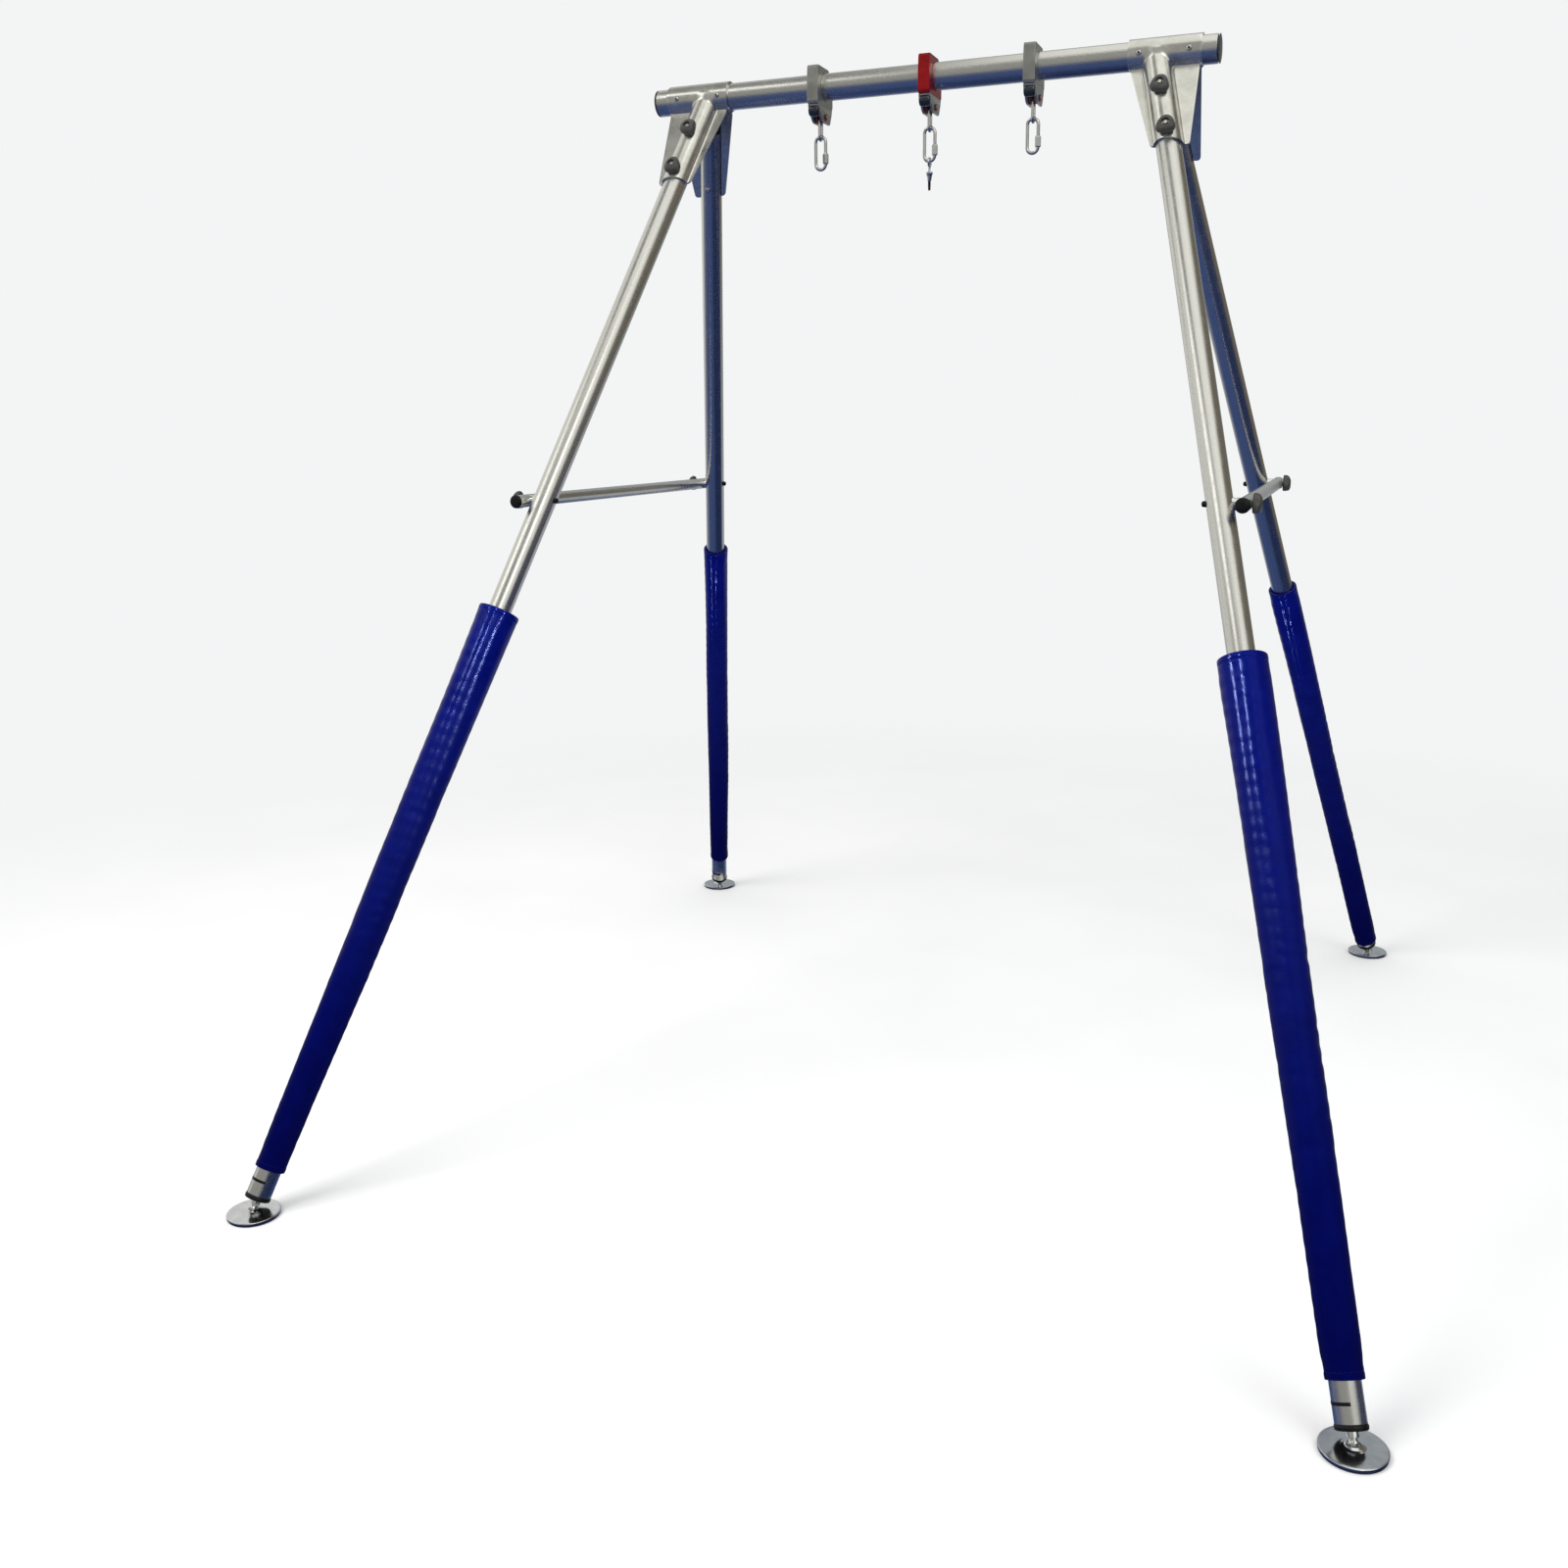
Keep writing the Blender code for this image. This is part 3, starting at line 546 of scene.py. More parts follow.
def cast_metal(name, dark, light, rough, metallic, grain=900.0, rubbed=0.6):
    """Fine sand-cast metal, rubbed brighter on its edges.  rough is a (low, high) range."""
    s = Shader(name)
    at = s.space()
    sand = s.noise(at, scale=grain, rough=0.6)
    blotch = s.noise(at, scale=26.0, detail=4.0, rough=0.6, distortion=0.4)
    cells = s.add("ShaderNodeTexVoronoi")
    s.join(at, cells.inputs["Vector"])
    cells.inputs["Scale"].default_value = 420.0
    pits = s.fit(cells.outputs["Distance"], 0.0, 0.16, to=(1, 0))
    worn = s.fit(s.add("ShaderNodeNewGeometry").outputs["Pointiness"], 0.51, 0.56)
    colour = s.blend(s.fit(blotch, 0.35, 0.68), dark, light)
    colour = s.blend(s.times(pits, 0.25), colour, shade(dark, 0.5))
    colour = s.blend(s.times(worn, rubbed), colour, (0.93, 0.92, 0.88))
    mottle = s.plus(s.times(sand, 0.5), s.times(blotch, 0.5))
    roughness = s.maths("SUBTRACT", s.fit(mottle, 0.35, 0.65, to=rough), s.times(worn, 0.12))
    normal = s.bump(sand, strength=0.30, distance=0.00016)
    normal = s.bump(blotch, strength=0.16, distance=0.001, over=normal)
    return s.finish(Base_Color=colour, Metallic=metallic, Roughness=roughness, Normal=normal)


def plated(name, colour, rough, smear=0.05):
    """Bright plating with faint smears."""
    s = Shader(name)
    at = s.space()
    haze = s.noise(at, scale=60.0, detail=4.0, rough=0.6, distortion=0.5)
    fine = s.noise(at, scale=700.0, detail=2.0, rough=0.5)
    tone = s.blend(s.fit(haze, 0.35, 0.7), shade(colour, 0.9), colour)
    smears = s.fit(haze, 0.4, 0.8, to=(rough, rough + smear))
    roughness = s.plus(smears, s.fit(fine, 0.4, 0.8, to=(0, 0.03)))
    normal = s.bump(fine, strength=0.05, distance=0.00005)
    return s.finish(Base_Color=tone, Metallic=1.0, Roughness=roughness, Normal=normal)


def moulded(name, dark, light, rough, grain=1100.0, coat=0.0, specular=0.5):
    """Moulded plastic with a fine spark-eroded grain and a lighter dusty mottle."""
    s = Shader(name)
    at = s.space()
    skin = s.noise(at, scale=grain, detail=2.0, rough=0.5)
    dust = s.noise(at, scale=90.0, detail=4.0, rough=0.6)
    mottle = s.plus(s.times(skin, 0.5), s.times(dust, 0.5))
    return s.finish(
        Base_Color=s.blend(s.fit(dust, 0.4, 0.75), dark, light),
        Roughness=s.fit(mottle, 0.35, 0.65, to=(rough - 0.05, rough + 0.08)),
        Normal=s.bump(skin, strength=0.35, distance=0.0002),
        Coat_Weight=coat,
        Coat_Roughness=0.12,
        Specular_IOR_Level=specular,
    )


def turned_steel():
    """Polished steel with faint concentric machining lines."""
    s = Shader("turned_steel")
    rings = s.noise(s.uv(along=2600.0, around=12.0), detail=2.0, rough=0.6)
    haze = s.noise(s.space(), scale=45.0, detail=4.0, rough=0.6, distortion=0.4)
    colour = s.blend(s.fit(haze, 0.35, 0.7), (0.66, 0.67, 0.70), (0.80, 0.81, 0.83))
    rough = s.plus(s.fit(rings, 0.3, 0.7, to=(0.10, 0.17)), s.fit(haze, 0.45, 0.75, to=(0, 0.06)))
    normal = s.bump(rings, strength=0.30, distance=0.00006)
    return s.finish(Base_Color=colour, Metallic=1.0, Roughness=rough, Normal=normal)


def vinyl():
    """Coated fabric: a close weave under a glossy skin, with creases; painted shade darkens it
    towards the foot and at grazing angles.
    """
    s = Shader("pad_vinyl")
    weave_pitch = 0.0011
    split = s.add("ShaderNodeSeparateXYZ")
    s.join(s.add("ShaderNodeUVMap", uv_map="along").outputs[0], split.inputs[0])
    along, around = split.outputs[0], split.outputs[1]
    cloud = s.noise(s.space(), scale=22.0, detail=4.0, rough=0.6, distortion=0.3)
    crease = s.noise(s.uv(along=46.0, around=22.0), detail=4.0, rough=0.6, distortion=0.6)
    drag = s.noise(s.uv(along=7.0, around=150.0), rough=0.6, distortion=0.3)
    warp, weft = (
        s.maths("SINE", s.times(way, 2 * math.pi / weave_pitch)) for way in (along, around)
    )
    weave = s.times(warp, weft)
    colour = s.blend(s.fit(cloud, 0.35, 0.7), (0.0006, 0.0030, 0.112), (0.0010, 0.0046, 0.152))
    # painted shade: the colour darkens towards the foot, standing in for the lower cover getting
    # less light
    footward_painted_shade = s.fit(along, 0.10, 1.20, to=(0, 0.80))
    colour = s.blend(footward_painted_shade, colour, (0.0002, 0.0004, 0.034))
    scuff = s.fit(s.noise(s.uv(along=9.0, around=230.0), rough=0.6), 0.64, 0.74)
    colour = s.blend(s.times(scuff, 0.14), colour, (0.006, 0.014, 0.22))
    # painted shade: the colour darkens towards the silhouettes, where the cover turns away from
    # view
    grazing_painted_shade = s.add("ShaderNodeLayerWeight")
    grazing_painted_shade.inputs["Blend"].default_value = 0.45
    edge = s.times(grazing_painted_shade.outputs["Facing"], 0.45)
    colour = s.blend(edge, colour, (0.0002, 0.0005, 0.028))
    rough = s.plus(s.fit(crease, 0.35, 0.65, to=(0.12, 0.20)), s.times(scuff, 0.12))
    rough = s.plus(rough, s.fit(along, 0.12, 0.50, to=(0, 0.24)))
    normal = s.bump(crease, strength=0.60, distance=0.001)
    normal = s.bump(drag, strength=0.45, distance=0.0004, over=normal)
    normal = s.bump(weave, strength=0.10, distance=0.00008, over=normal)
    return s.finish(
        Base_Color=colour,
        Roughness=rough,
        Normal=normal,
        Specular_IOR_Level=s.fit(along, 0.05, 0.95, to=(0.17, 0.03)),
        Specular_Tint=(0.34, 0.45, 1.0, 1.0),
    )


ALUMINIUM = satin_tube()
CASTING = cast_metal(
    "sand_cast", dark=(0.63, 0.625, 0.575), light=(0.80, 0.795, 0.745),
    rough=(0.17, 0.28), metallic=0.97,
)
TURNED = turned_steel()
GREY_BLOCK = cast_metal(
    "grey_anodised", dark=(0.25, 0.25, 0.23), light=(0.34, 0.34, 0.315),
    rough=(0.34, 0.46), metallic=0.85, grain=1400.0, rubbed=0.25,
)
RED_BLOCK = cast_metal(
    "red_anodised", dark=(0.24, 0.005, 0.008), light=(0.36, 0.010, 0.014),
    rough=(0.30, 0.42), metallic=0.70, grain=1400.0, rubbed=0.0,
)
STEEL = cast_metal(
    "yoke_plate", dark=(0.36, 0.37, 0.36), light=(0.50, 0.51, 0.50),
    rough=(0.28, 0.42), metallic=0.95, grain=1800.0,
)
CHROME = plated("bright_plating", colour=(0.86, 0.86, 0.85), rough=0.05)
ZINC = plated("zinc_steel", colour=(0.66, 0.66, 0.64), rough=0.20, smear=0.12)
KNOB = moulded(
    "knob_grey", dark=(0.032, 0.031, 0.029), light=(0.060, 0.058, 0.054), rough=0.40
)
BLACK = moulded(
    "black_plug", dark=(0.0028, 0.0028, 0.0032), light=(0.0060, 0.0060, 0.0066),
    rough=0.40, specular=0.28,
)
END_CAP = moulded(
    "end_cap_grey", dark=(0.035, 0.036, 0.038), light=(0.065, 0.066, 0.068),
    rough=0.36, specular=0.4,
)
GLOSS_BLACK = moulded(
    "gloss_black", dark=(0.004, 0.006, 0.010), light=(0.008, 0.011, 0.016),
    rough=0.14, grain=500.0, coat=1.0,
)
# near-black rubber; the blue tint in its colour is painted reflection of a blue floor
RUBBER = moulded(
    "sole_rubber", dark=(0.006, 0.009, 0.032), light=(0.012, 0.016, 0.050),
    rough=0.34, grain=700.0,
)
BUSH = moulded("bush_brown", dark=(0.105, 0.014, 0.006), light=(0.190, 0.034, 0.014), rough=0.34)
VINYL = vinyl()
THREAD = moulded(
    "blue_thread", dark=(0.0006, 0.0028, 0.080), light=(0.0010, 0.0044, 0.120),
    rough=0.45, grain=2500.0, specular=0.15,
)

# Lathe profiles below are (radius, height, fillet).


# ------------------------------------------------------------------ beam
def flutes(radius, _, angle):
    """72 shallow grooves along the outside of the beam."""
    outside = radius > BEAM_R - 0.0005
    return radius - 0.0001 * outside * (0.5 + 0.5 * np.cos(72 * angle)) ** 3


def build_beam():
    beam = lathe(
        tube_profile(BEAM_R, 0.003, -BEAM_HALF, BEAM_HALF, (0.0006, 0.0006, 0.0004, 0.0004)),
        288, frame_of((0, 0, BEAM_Z), ALONG_X), closed=True, shape=flutes,
    )
    piece("beam_skin", beam, "root", ALUMINIUM, "beam_tube")


def build_beam_cap(side, sign):
    node = "beam_plug_" + side
    low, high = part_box(node)
    face = high.x if sign > 0 else low.x
    rim, stem = BEAM_R - 0.0002, BEAM_R - 0.0036
    profile = [
        (0, 0.0022, 0), (0.015, 0.0024, 0), (0.0225, 0.002, 0.004), (rim, 0.0006, 0.0012),
        (rim, -0.0008, 0.0003), (stem, -0.0008, 0.0003), (stem, -0.024, 0.0015), (0, -0.024, 0),
    ]
    plug = lathe(profile, 96, frame_of((face - sign * 0.0005, 0, BEAM_Z), (sign, 0, 0)))
    piece("beam_end_cap_" + side, plug, "root", END_CAP, node, sharp=30)


build_beam()
for side, sign in X_SIDES.items():
    build_beam_cap(side, sign)

# ------------------------------------------------------------------ corner brackets
# A bracket is a plate in the plane of the beam and leg axes, with a half round over each.
# Across is outward along the beam; down runs from the beam axis towards the foot.
WING = BRACKET_WALL / 2
RIM = 0.221  # lower rim, measured down from the beam axis
TIP = 0.007  # rounding of the lower corners
SLEEVE_FILLET = 0.003
PIPE_FILLET = 0.005
TAPER_START = 0.040
SLEEVE_ENDS = np.array((-0.053, 0.096))  # inboard and outboard edges over the beam
WING_STEP = np.array((0.006, -0.004))  # how each edge steps in below the sleeve
RIM_ENDS = np.array((-0.037, 0.041))  # the same edges at the rim, from the leg axis
SCREWS_ACROSS = (-0.030, 0.071)


def hump_edge(radius, rounding):
    """Distance from a half round's middle at which its fillet meets the wing plate."""
    return math.sqrt((radius + rounding) ** 2 - (WING + rounding) ** 2)


def hump(d, radius, rounding):
    """Height at distance d of a half round that is filleted into the wing plate."""
    edge = hump_edge(radius, rounding)
    d = np.abs(d)
    crown = np.sqrt(np.maximum(radius * radius - d * d, 0))
    flare = WING + rounding - np.sqrt(np.maximum(rounding * rounding - (edge - d) ** 2, 0))
    height = np.where(d < radius / (radius + rounding) * edge, crown, flare)
    return np.where(d >= edge, WING, height)


def outer_height(w, d):
    """Outer skin at w down and d from the leg axis, the two half rounds blended together."""
    pipe = WING + (hump(d, PIPE_R, PIPE_FILLET) - WING) * smooth_step(w, -0.014, 0.008)
    base, pipe = hump(w, SLEEVE_R, SLEEVE_FILLET) - WING, pipe - WING
    soft = 0.0075 * smooth_step(np.minimum(base, pipe), 0.0, 0.012) + 1e-6
    share = np.clip(0.5 + 0.5 * (base - pipe) / soft, 0, 1)
    return WING + pipe * (1 - share) + base * share + soft * share * (1 - share)


def inner_height(w, d):
    base = math.sqrt(max(BEAM_BORE**2 - w * w, 0)) if abs(w) < BEAM_BORE else -WING
    pipe = np.sqrt(np.maximum(LEG_BORE**2 - d * d, 0))
    pipe = np.where((np.abs(d) < LEG_BORE) & (w >= 0.004), pipe, -WING)
    return np.maximum(np.maximum(base, pipe), -WING)


def bracket_edges(w, slope):
    """Inboard and outboard ends of the bracket at w down."""
    taper = np.clip((w - TAPER_START) / (RIM - TAPER_START), 0, 1)
    step = smooth_step(w, SLEEVE_R - 0.0008, SLEEVE_R + 0.0012)
    ends = SLEEVE_ENDS + WING_STEP * step
    ends = ends + (slope * RIM + RIM_ENDS - (SLEEVE_ENDS + WING_STEP)) * taper
    near = np.clip((w - (RIM - TIP)) / TIP, 0, 1)
    inset = TIP * (1 - np.sqrt(np.maximum(1 - near**2, 0)))
    return ends[0] + inset, ends[1] - inset


def bracket_mesh(leg, across):
    down = unit(leg.axis - np.array((leg.axis[0], 0, 0)))
    slope = abs(leg.axis[0]) / (leg.axis @ down)
    cosine = 1 / math.sqrt(1 + slope * slope)
    sleeve_edge = hump_edge(SLEEVE_R, SLEEVE_FILLET)
    pipe_edge = hump_edge(PIPE_R, PIPE_FILLET)

    # distances down: round the beam, then over the fillet, the wing and the rounded rim
    first = 0.4 - math.degrees(math.asin(float(-down[2])))
    last = math.degrees(math.asin(sleeve_edge / (SLEEVE_R + SLEEVE_FILLET)))
    outer_turn = np.linspace(first, last, 40)
    inner_turn = first + (outer_turn - first) * (94.0 - first) / (last - first)
    w_outer = SLEEVE_R * np.sin(np.radians(outer_turn))
    w_inner = BEAM_BORE * np.sin(np.radians(np.minimum(inner_turn, 90.0)))
    below = np.r_[
        np.linspace(w_outer[-1], sleeve_edge, 6)[1:],
        np.linspace(sleeve_edge, RIM - TIP, 30)[1:],
        RIM - TIP + TIP * np.sin(np.radians(np.linspace(0, 90, 8)[1:])),
    ]
    even = np.linspace(0, 1, 61)
    bunched = 0.55 * (0.5 - 0.5 * np.cos(math.pi * even)) + 0.45 * even

    def layer(distances, height):
        rows = []
        for w in distances:
            start, end = bracket_edges(w, slope)
            middle = slope * w
            d_start = max(-pipe_edge, (start - middle) * cosine + 0.0004)
            d_end = min(pipe_edge, (end - middle) * cosine - 0.0004)
            pipe_start, pipe_end = middle + d_start / cosine, middle + d_end / cosine
            u = np.r_[
                np.linspace(start, pipe_start, 9)[:-1],
                pipe_start + (pipe_end - pipe_start) * bunched,
                np.linspace(pipe_end, end, 9)[1:],
            ]
            lift = height(w, (u - middle) * cosine)
            rows.append(
                leg.top + w * down + u[:, None] * across + lift[:, None] * leg.outward
            )
        return np.array(rows)

    outer = layer(np.r_[w_outer, below], outer_height)
    inner = layer(np.r_[w_inner, below], inner_height)
    rows, cols = outer.shape[:2]
    skin = np.arange(rows * cols).reshape(rows, cols)
    bore = skin + rows * cols
    faces = []
    for i in range(rows - 1):
        for j in range(cols - 1):
            faces.append((skin[i, j], skin[i, j + 1], skin[i + 1, j + 1], skin[i + 1, j]))
            faces.append((bore[i, j], bore[i + 1, j], bore[i + 1, j + 1], bore[i, j + 1]))
        faces.append((skin[i, 0], skin[i + 1, 0], bore[i + 1, 0], bore[i, 0]))
        faces.append((skin[i, -1], bore[i, -1], bore[i + 1, -1], skin[i + 1, -1]))
    for j in range(cols - 1):
        faces.append((skin[0, j], bore[0, j], bore[0, j + 1], skin[0, j + 1]))
        faces.append((skin[-1, j], skin[-1, j + 1], bore[-1, j + 1], bore[-1, j]))
    verts = np.concatenate([outer.reshape(-1, 3), inner.reshape(-1, 3)])
    return tidy(mesh_from(verts, faces), merge=2e-5, collapse=1e-6)


SCREW_HEAD = [
    (0, 0.0009, 0), (0.0022, 0.0009, 0), (0.0022, 0.0034, 0.0002), (0.0034, 0.0033, 0.0006),
    (0.005, 0.0019, 0.001), (0.0053, 0.0006, 0.0002), (0.0053, -0.001, 0), (0, -0.001, 0),
]
SCREW_WASHER = [
    (0.005, 0.0002, 0), (0.0066, 0.0002, 0.0002), (0.0066, -0.0012, 0), (0.005, -0.0012, 0),
]
# painted shade: a black hex solid fills the socket nearly to its rim, standing for the shade
# inside the recess
SCREW_SOCKET_SHADE = [(0, 0.0031, 0), (0.00235, 0.0031, 0), (0.00235, 0.0005, 0), (0, 0.0005, 0)]


def build_bracket(name, leg):
    across = np.array((leg.x_sign, 0.0, 0.0))
    obj = piece(
        "bracket_%s_casting" % name, bracket_mesh(leg, across),
        "root", CASTING, "bracket_" + name,
    )
    edge = obj.modifiers.new("rubbed_edges", "BEVEL")
    edge.width = 0.0009
    edge.segments = 2
    edge.limit_method = "ANGLE"
    edge.angle_limit = math.radians(62)
    edge.harden_normals = True
    out = np.array((0.0, leg.y_sign, 0.0))
    screws = []
    for u in SCREWS_ACROSS:
        matrix = frame_of(leg.top + across * u + out * (SLEEVE_R + 0.0002), out)
        screws += [
            lathe(SCREW_HEAD, 36, matrix),
            lathe(SCREW_WASHER, 36, matrix, closed=True),
            lathe(SCREW_SOCKET_SHADE, 6, matrix),
        ]
    mesh = joined(screws, [CHROME, ZINC, BLACK] * len(SCREWS_ACROSS))
    piece("bracket_%s_screws" % name, mesh, "root", sharp=30)


for name, leg in LEGS.items():
    build_bracket(name, leg)

# ------------------------------------------------------------------ legs and feet
MARK_START = 2.596  # height mark, along the leg
MARK_WIDTH = 0.0056
MARK_SECTOR = (-8, 125)  # degrees from the camera's side round to the viewer's left
THREAD_START, THREAD_END, THREAD_PITCH = -0.0312, -0.0795, 0.0025
STUD_BALL = [
    (0, 0.0085, 0), (0.0045, 0.0072, 0.002), (0.0076, 0.004, 0.002), (0.0085, 0, 0.003),
    (0.0076, -0.004, 0.001), (0.0066, -0.0054, 0.0008), (0.0066, -0.0068, 0.001),
    (0.0099, -0.0086, 0.001), (0.0099, -0.029, 0.0005), (0.009, -0.03, 0.0003),
]
FOOT_PLATE = [
    (0, 0.0063, 0), (0.0093, 0.0063, 0.0012), (0.0096, 0.0143, 0.0004),
    (0.0108, 0.0146, 0.0006), (0.0146, 0.0118, 0.004), (0.02, 0.0104, 0.006),
    (0.034, 0.0097, 0.03), (0.05, 0.0084, 0.012), (0.0541, 0.008, 0.0012),
    (0.0541, 0.0048, 0.0008), (0.0525, 0.0044, 0), (0, 0.0044, 0),
]
SOLE = [
    (0, 0.0043, 0), (0.0528, 0.0043, 0), (0.0537, 0.004, 0.0006), (0.0534, 0.0008, 0.001),
    (0.052, 0, 0.0006), (0.043, 0, 0.0004), (0.042, 0.0012, 0.0004),
    (0.0395, 0.0012, 0.0004), (0.0385, 0, 0.0004), (0.029, 0, 0.0004),
    (0.028, 0.0012, 0.0004), (0.0255, 0.0012, 0.0004), (0.0245, 0, 0.0004), (0, 0, 0),
]


def build_leg_tube(name, leg):
    start, end = leg.station("leg_" + name)
    tube = lathe(
        tube_profile(LEG_R, 0.0025, 0.0, end - start, (0.0006, 0.0005, 0.0004, 0.0004)),
        128, frame_of(leg.at(start), leg.axis, leg.outward), closed=True,
    )
    piece(
        "leg_%s_tube_skin" % name, tube, "root", ALUMINIUM, "leg_" + name
    )


def build_height_mark(name, leg):
    towards, left = leg.facing(2.60)
    matrix = frame_of(leg.at(MARK_START), leg.axis, towards)
    turn = 1 if matrix[:3, 1] @ left > 0 else -1
    band = lathe(
        collar_profile(LEG_R - 0.0002, LEG_R + 0.0005, 0.0, MARK_WIDTH, 0.0002),
        48, matrix, closed=True, sector=sorted(turn * angle for angle in MARK_SECTOR),
    )
    piece("leg_%s_height_mark" % name, band, "root", BLACK, sharp=35)


def build_foot(name, leg):
    leg_end = leg.station("leg_" + name)[1]
    height = leg.station("foot_insert_" + name)[1] - leg_end
    bore, plug = 0.0112, LEG_R - 0.003
    profile = [
        (plug, -0.03, 0.001), (plug, 0.0002, 0), (LEG_R + 0.0002, 0.0002, 0.0003),
        (LEG_R + 0.0014, 0.0045, 0.002), (LEG_R + 0.0008, height, 0.0022),
        (bore, height, 0.0008), (bore, -0.03, 0.0008),
    ]
    collar = lathe(profile, 96, frame_of(leg.at(leg_end), leg.axis, leg.outward), closed=True)
    piece(
        "foot_%s_collar" % name, collar,
        "root", BLACK, "foot_insert_" + name, sharp=30,
    )

    # levelling stud: a ball, a plain lower length, threads above it
    profile = list(STUD_BALL)
    for z in np.arange(THREAD_START, THREAD_END, -THREAD_PITCH):
        profile += [
            (0.0098, z, 0.0002), (0.0098, z - 0.0004, 0.0002),
            (0.0089, z - 0.0013, 0.0002), (0.0089, z - 0.0016, 0.0002),
        ]
    profile += [(0.0085, -0.0808, 0), (0, -0.0812, 0)]
    stud = lathe(profile, 40, frame_of(leg.ball, leg.axis, leg.outward))
    node = "foot_stud_" + name
    piece("foot_%s_levelling_stud" % name, stud, node, CHROME, node)

    flat = frame_of((leg.ball[0], leg.ball[1], 0.0), UP, ALONG_X)
    node = "foot_disc_" + name
    plate_mesh = lathe(FOOT_PLATE, 144, flat)
    piece("foot_%s_plate" % name, plate_mesh, node, TURNED, node, sharp=30)
    sole = lathe(SOLE, 120, flat)
    piece("foot_%s_rubber_sole" % name, sole, node, RUBBER, sharp=30)


for name, leg in LEGS.items():
    build_leg_tube(name, leg)
    build_height_mark(name, leg)
    build_foot(name, leg)

# ------------------------------------------------------------------ knobs
# Knob parts are made about local Z, pointing out of the knob's face.
KNOB_TOP = 0.0175
KNOB_GRIP = [
    (0, 0, 0), (0.017, 0, 0), (0.02, 0.0006, 0.001), (0.0212, 0.003, 0.002),
    (0.0212, 0.0066, 0.004), (0.02, 0.0102, 0.005), (0.0172, 0.0136, 0.006),
    (0.0132, 0.016, 0.006), (0.0092, KNOB_TOP, 0.001), (0.0082, KNOB_TOP, 0.0004),
    (0.0078, 0.0118, 0), (0, 0.0118, 0),
]
KNOB_CORE = [
    (0, 0.015, 0), (0.0036, 0.015, 0.0006), (0.0044, 0.0142, 0.0004), (0.0044, 0.0117, 0),
    (0.0072, 0.0119, 0), (0.0072, 0.0114, 0), (0, 0.0114, 0),
]
# degrees each leg knob is turned: (upper, lower)
KNOB_TURN = {
    "front_left": (-14, 8), "front_right": (-22, -12),
    "rear_left": (30, 75), "rear_right": (10, -40),
}


def lobes(radius, height, angle):
    """Three lobes that fade out towards the domed face."""
    depth = 0.1 * (1 - smooth_step(height, 0.0085, 0.0168)) * (radius > 0.0088)
    return radius * (1 - depth + depth * np.cos(3 * angle))


def knob_grip(matrix):
    return lathe(KNOB_GRIP, 96, matrix, shape=lobes)


def knob_bolt(matrix, reach):
    """The metal core in the knob's face and the stud behind it."""
    stud = [(0, 0.001, 0), (0.004, 0.001, 0), (0.004, -reach, 0.0006), (0, -reach, 0)]
    return [lathe(KNOB_CORE, 40, matrix), lathe(stud, 24, matrix)]


def knob_nut(matrix, face):
    """Nut on the stud's far end, against the surface that lies face behind the knob."""
    profile = [
        (0, -face - 0.004, 0), (0.005, -face - 0.0038, 0.0008),
        (0.0062, -face - 0.0014, 0.0006), (0.0078, -face - 0.0012, 0.0003),
        (0.0078, -face + 0.0006, 0), (0, -face + 0.0006, 0),
    ]
    return lathe(profile, 32, matrix)


def knob_cap(matrix, reach, face):
    """Rounded cap over the stud's far end."""
    profile = [
        (0, -reach - 0.0012, 0), (0.003, -reach - 0.001, 0.0015),
        (0.0054, -reach + 0.0008, 0.0015), (0.0062, -face - 0.0012, 0.0008),
        (0.0062, -face + 0.0008, 0), (0, -face + 0.0008, 0),
    ]
    return lathe(profile, 40, matrix)


def build_leg_knob(name, leg, label, degrees):
    node = "leg_knob_%s_%s" % (name, label)
    matrix = frame_of(place_of(node + "_turn"), leg.outward, -leg.axis)
    matrix[:3, :3] = matrix[:3, :3] @ np.array(Matrix.Rotation(math.radians(degrees), 3, "Z"))
    depth = PIPE_R + LEG_R
    bolt = joined(knob_bolt(matrix, depth + 0.006) + [knob_nut(matrix, depth - 0.0006)])
    piece(node + "_grip", knob_grip(matrix), node, KNOB, node, sharp=50)
    piece(node + "_bolt", bolt, node, ZINC)


for name, leg in LEGS.items():
    for label, degrees in zip(("upper", "lower"), KNOB_TURN[name]):
        build_leg_knob(name, leg, label, degrees)


# ------------------------------------------------------------------ braces
def brace_cap(radius, origin, sign):
    stem = radius - 0.0022
    profile = [
        (0, 0.0052, 0), (0.006, 0.005, 0.002), (0.0118, 0.0036, 0.004),
        (0.0146, 0.0008, 0.0015), (0.0146, -0.0012, 0.0003),
        (stem, -0.0012, 0), (stem, -0.016, 0.001), (0, -0.016, 0),
    ]
    return lathe(profile, 64, frame_of(origin, (0, sign, 0)))


def brace_saddle(gap, origin, sign):
    """Waisted spacer that fills the gap between a leg and the brace."""
    profile = [
        (0.0042, -0.0065, 0), (0.0135, -0.0065, 0.001), (0.012, 0.0006, 0.003),
        (0.012, gap - 0.0006, 0.003), (0.0125, gap + 0.005, 0.001), (0.0042, gap + 0.005, 0),
    ]
    return lathe(profile, 56, frame_of(origin, (sign, 0, 0)), closed=True)


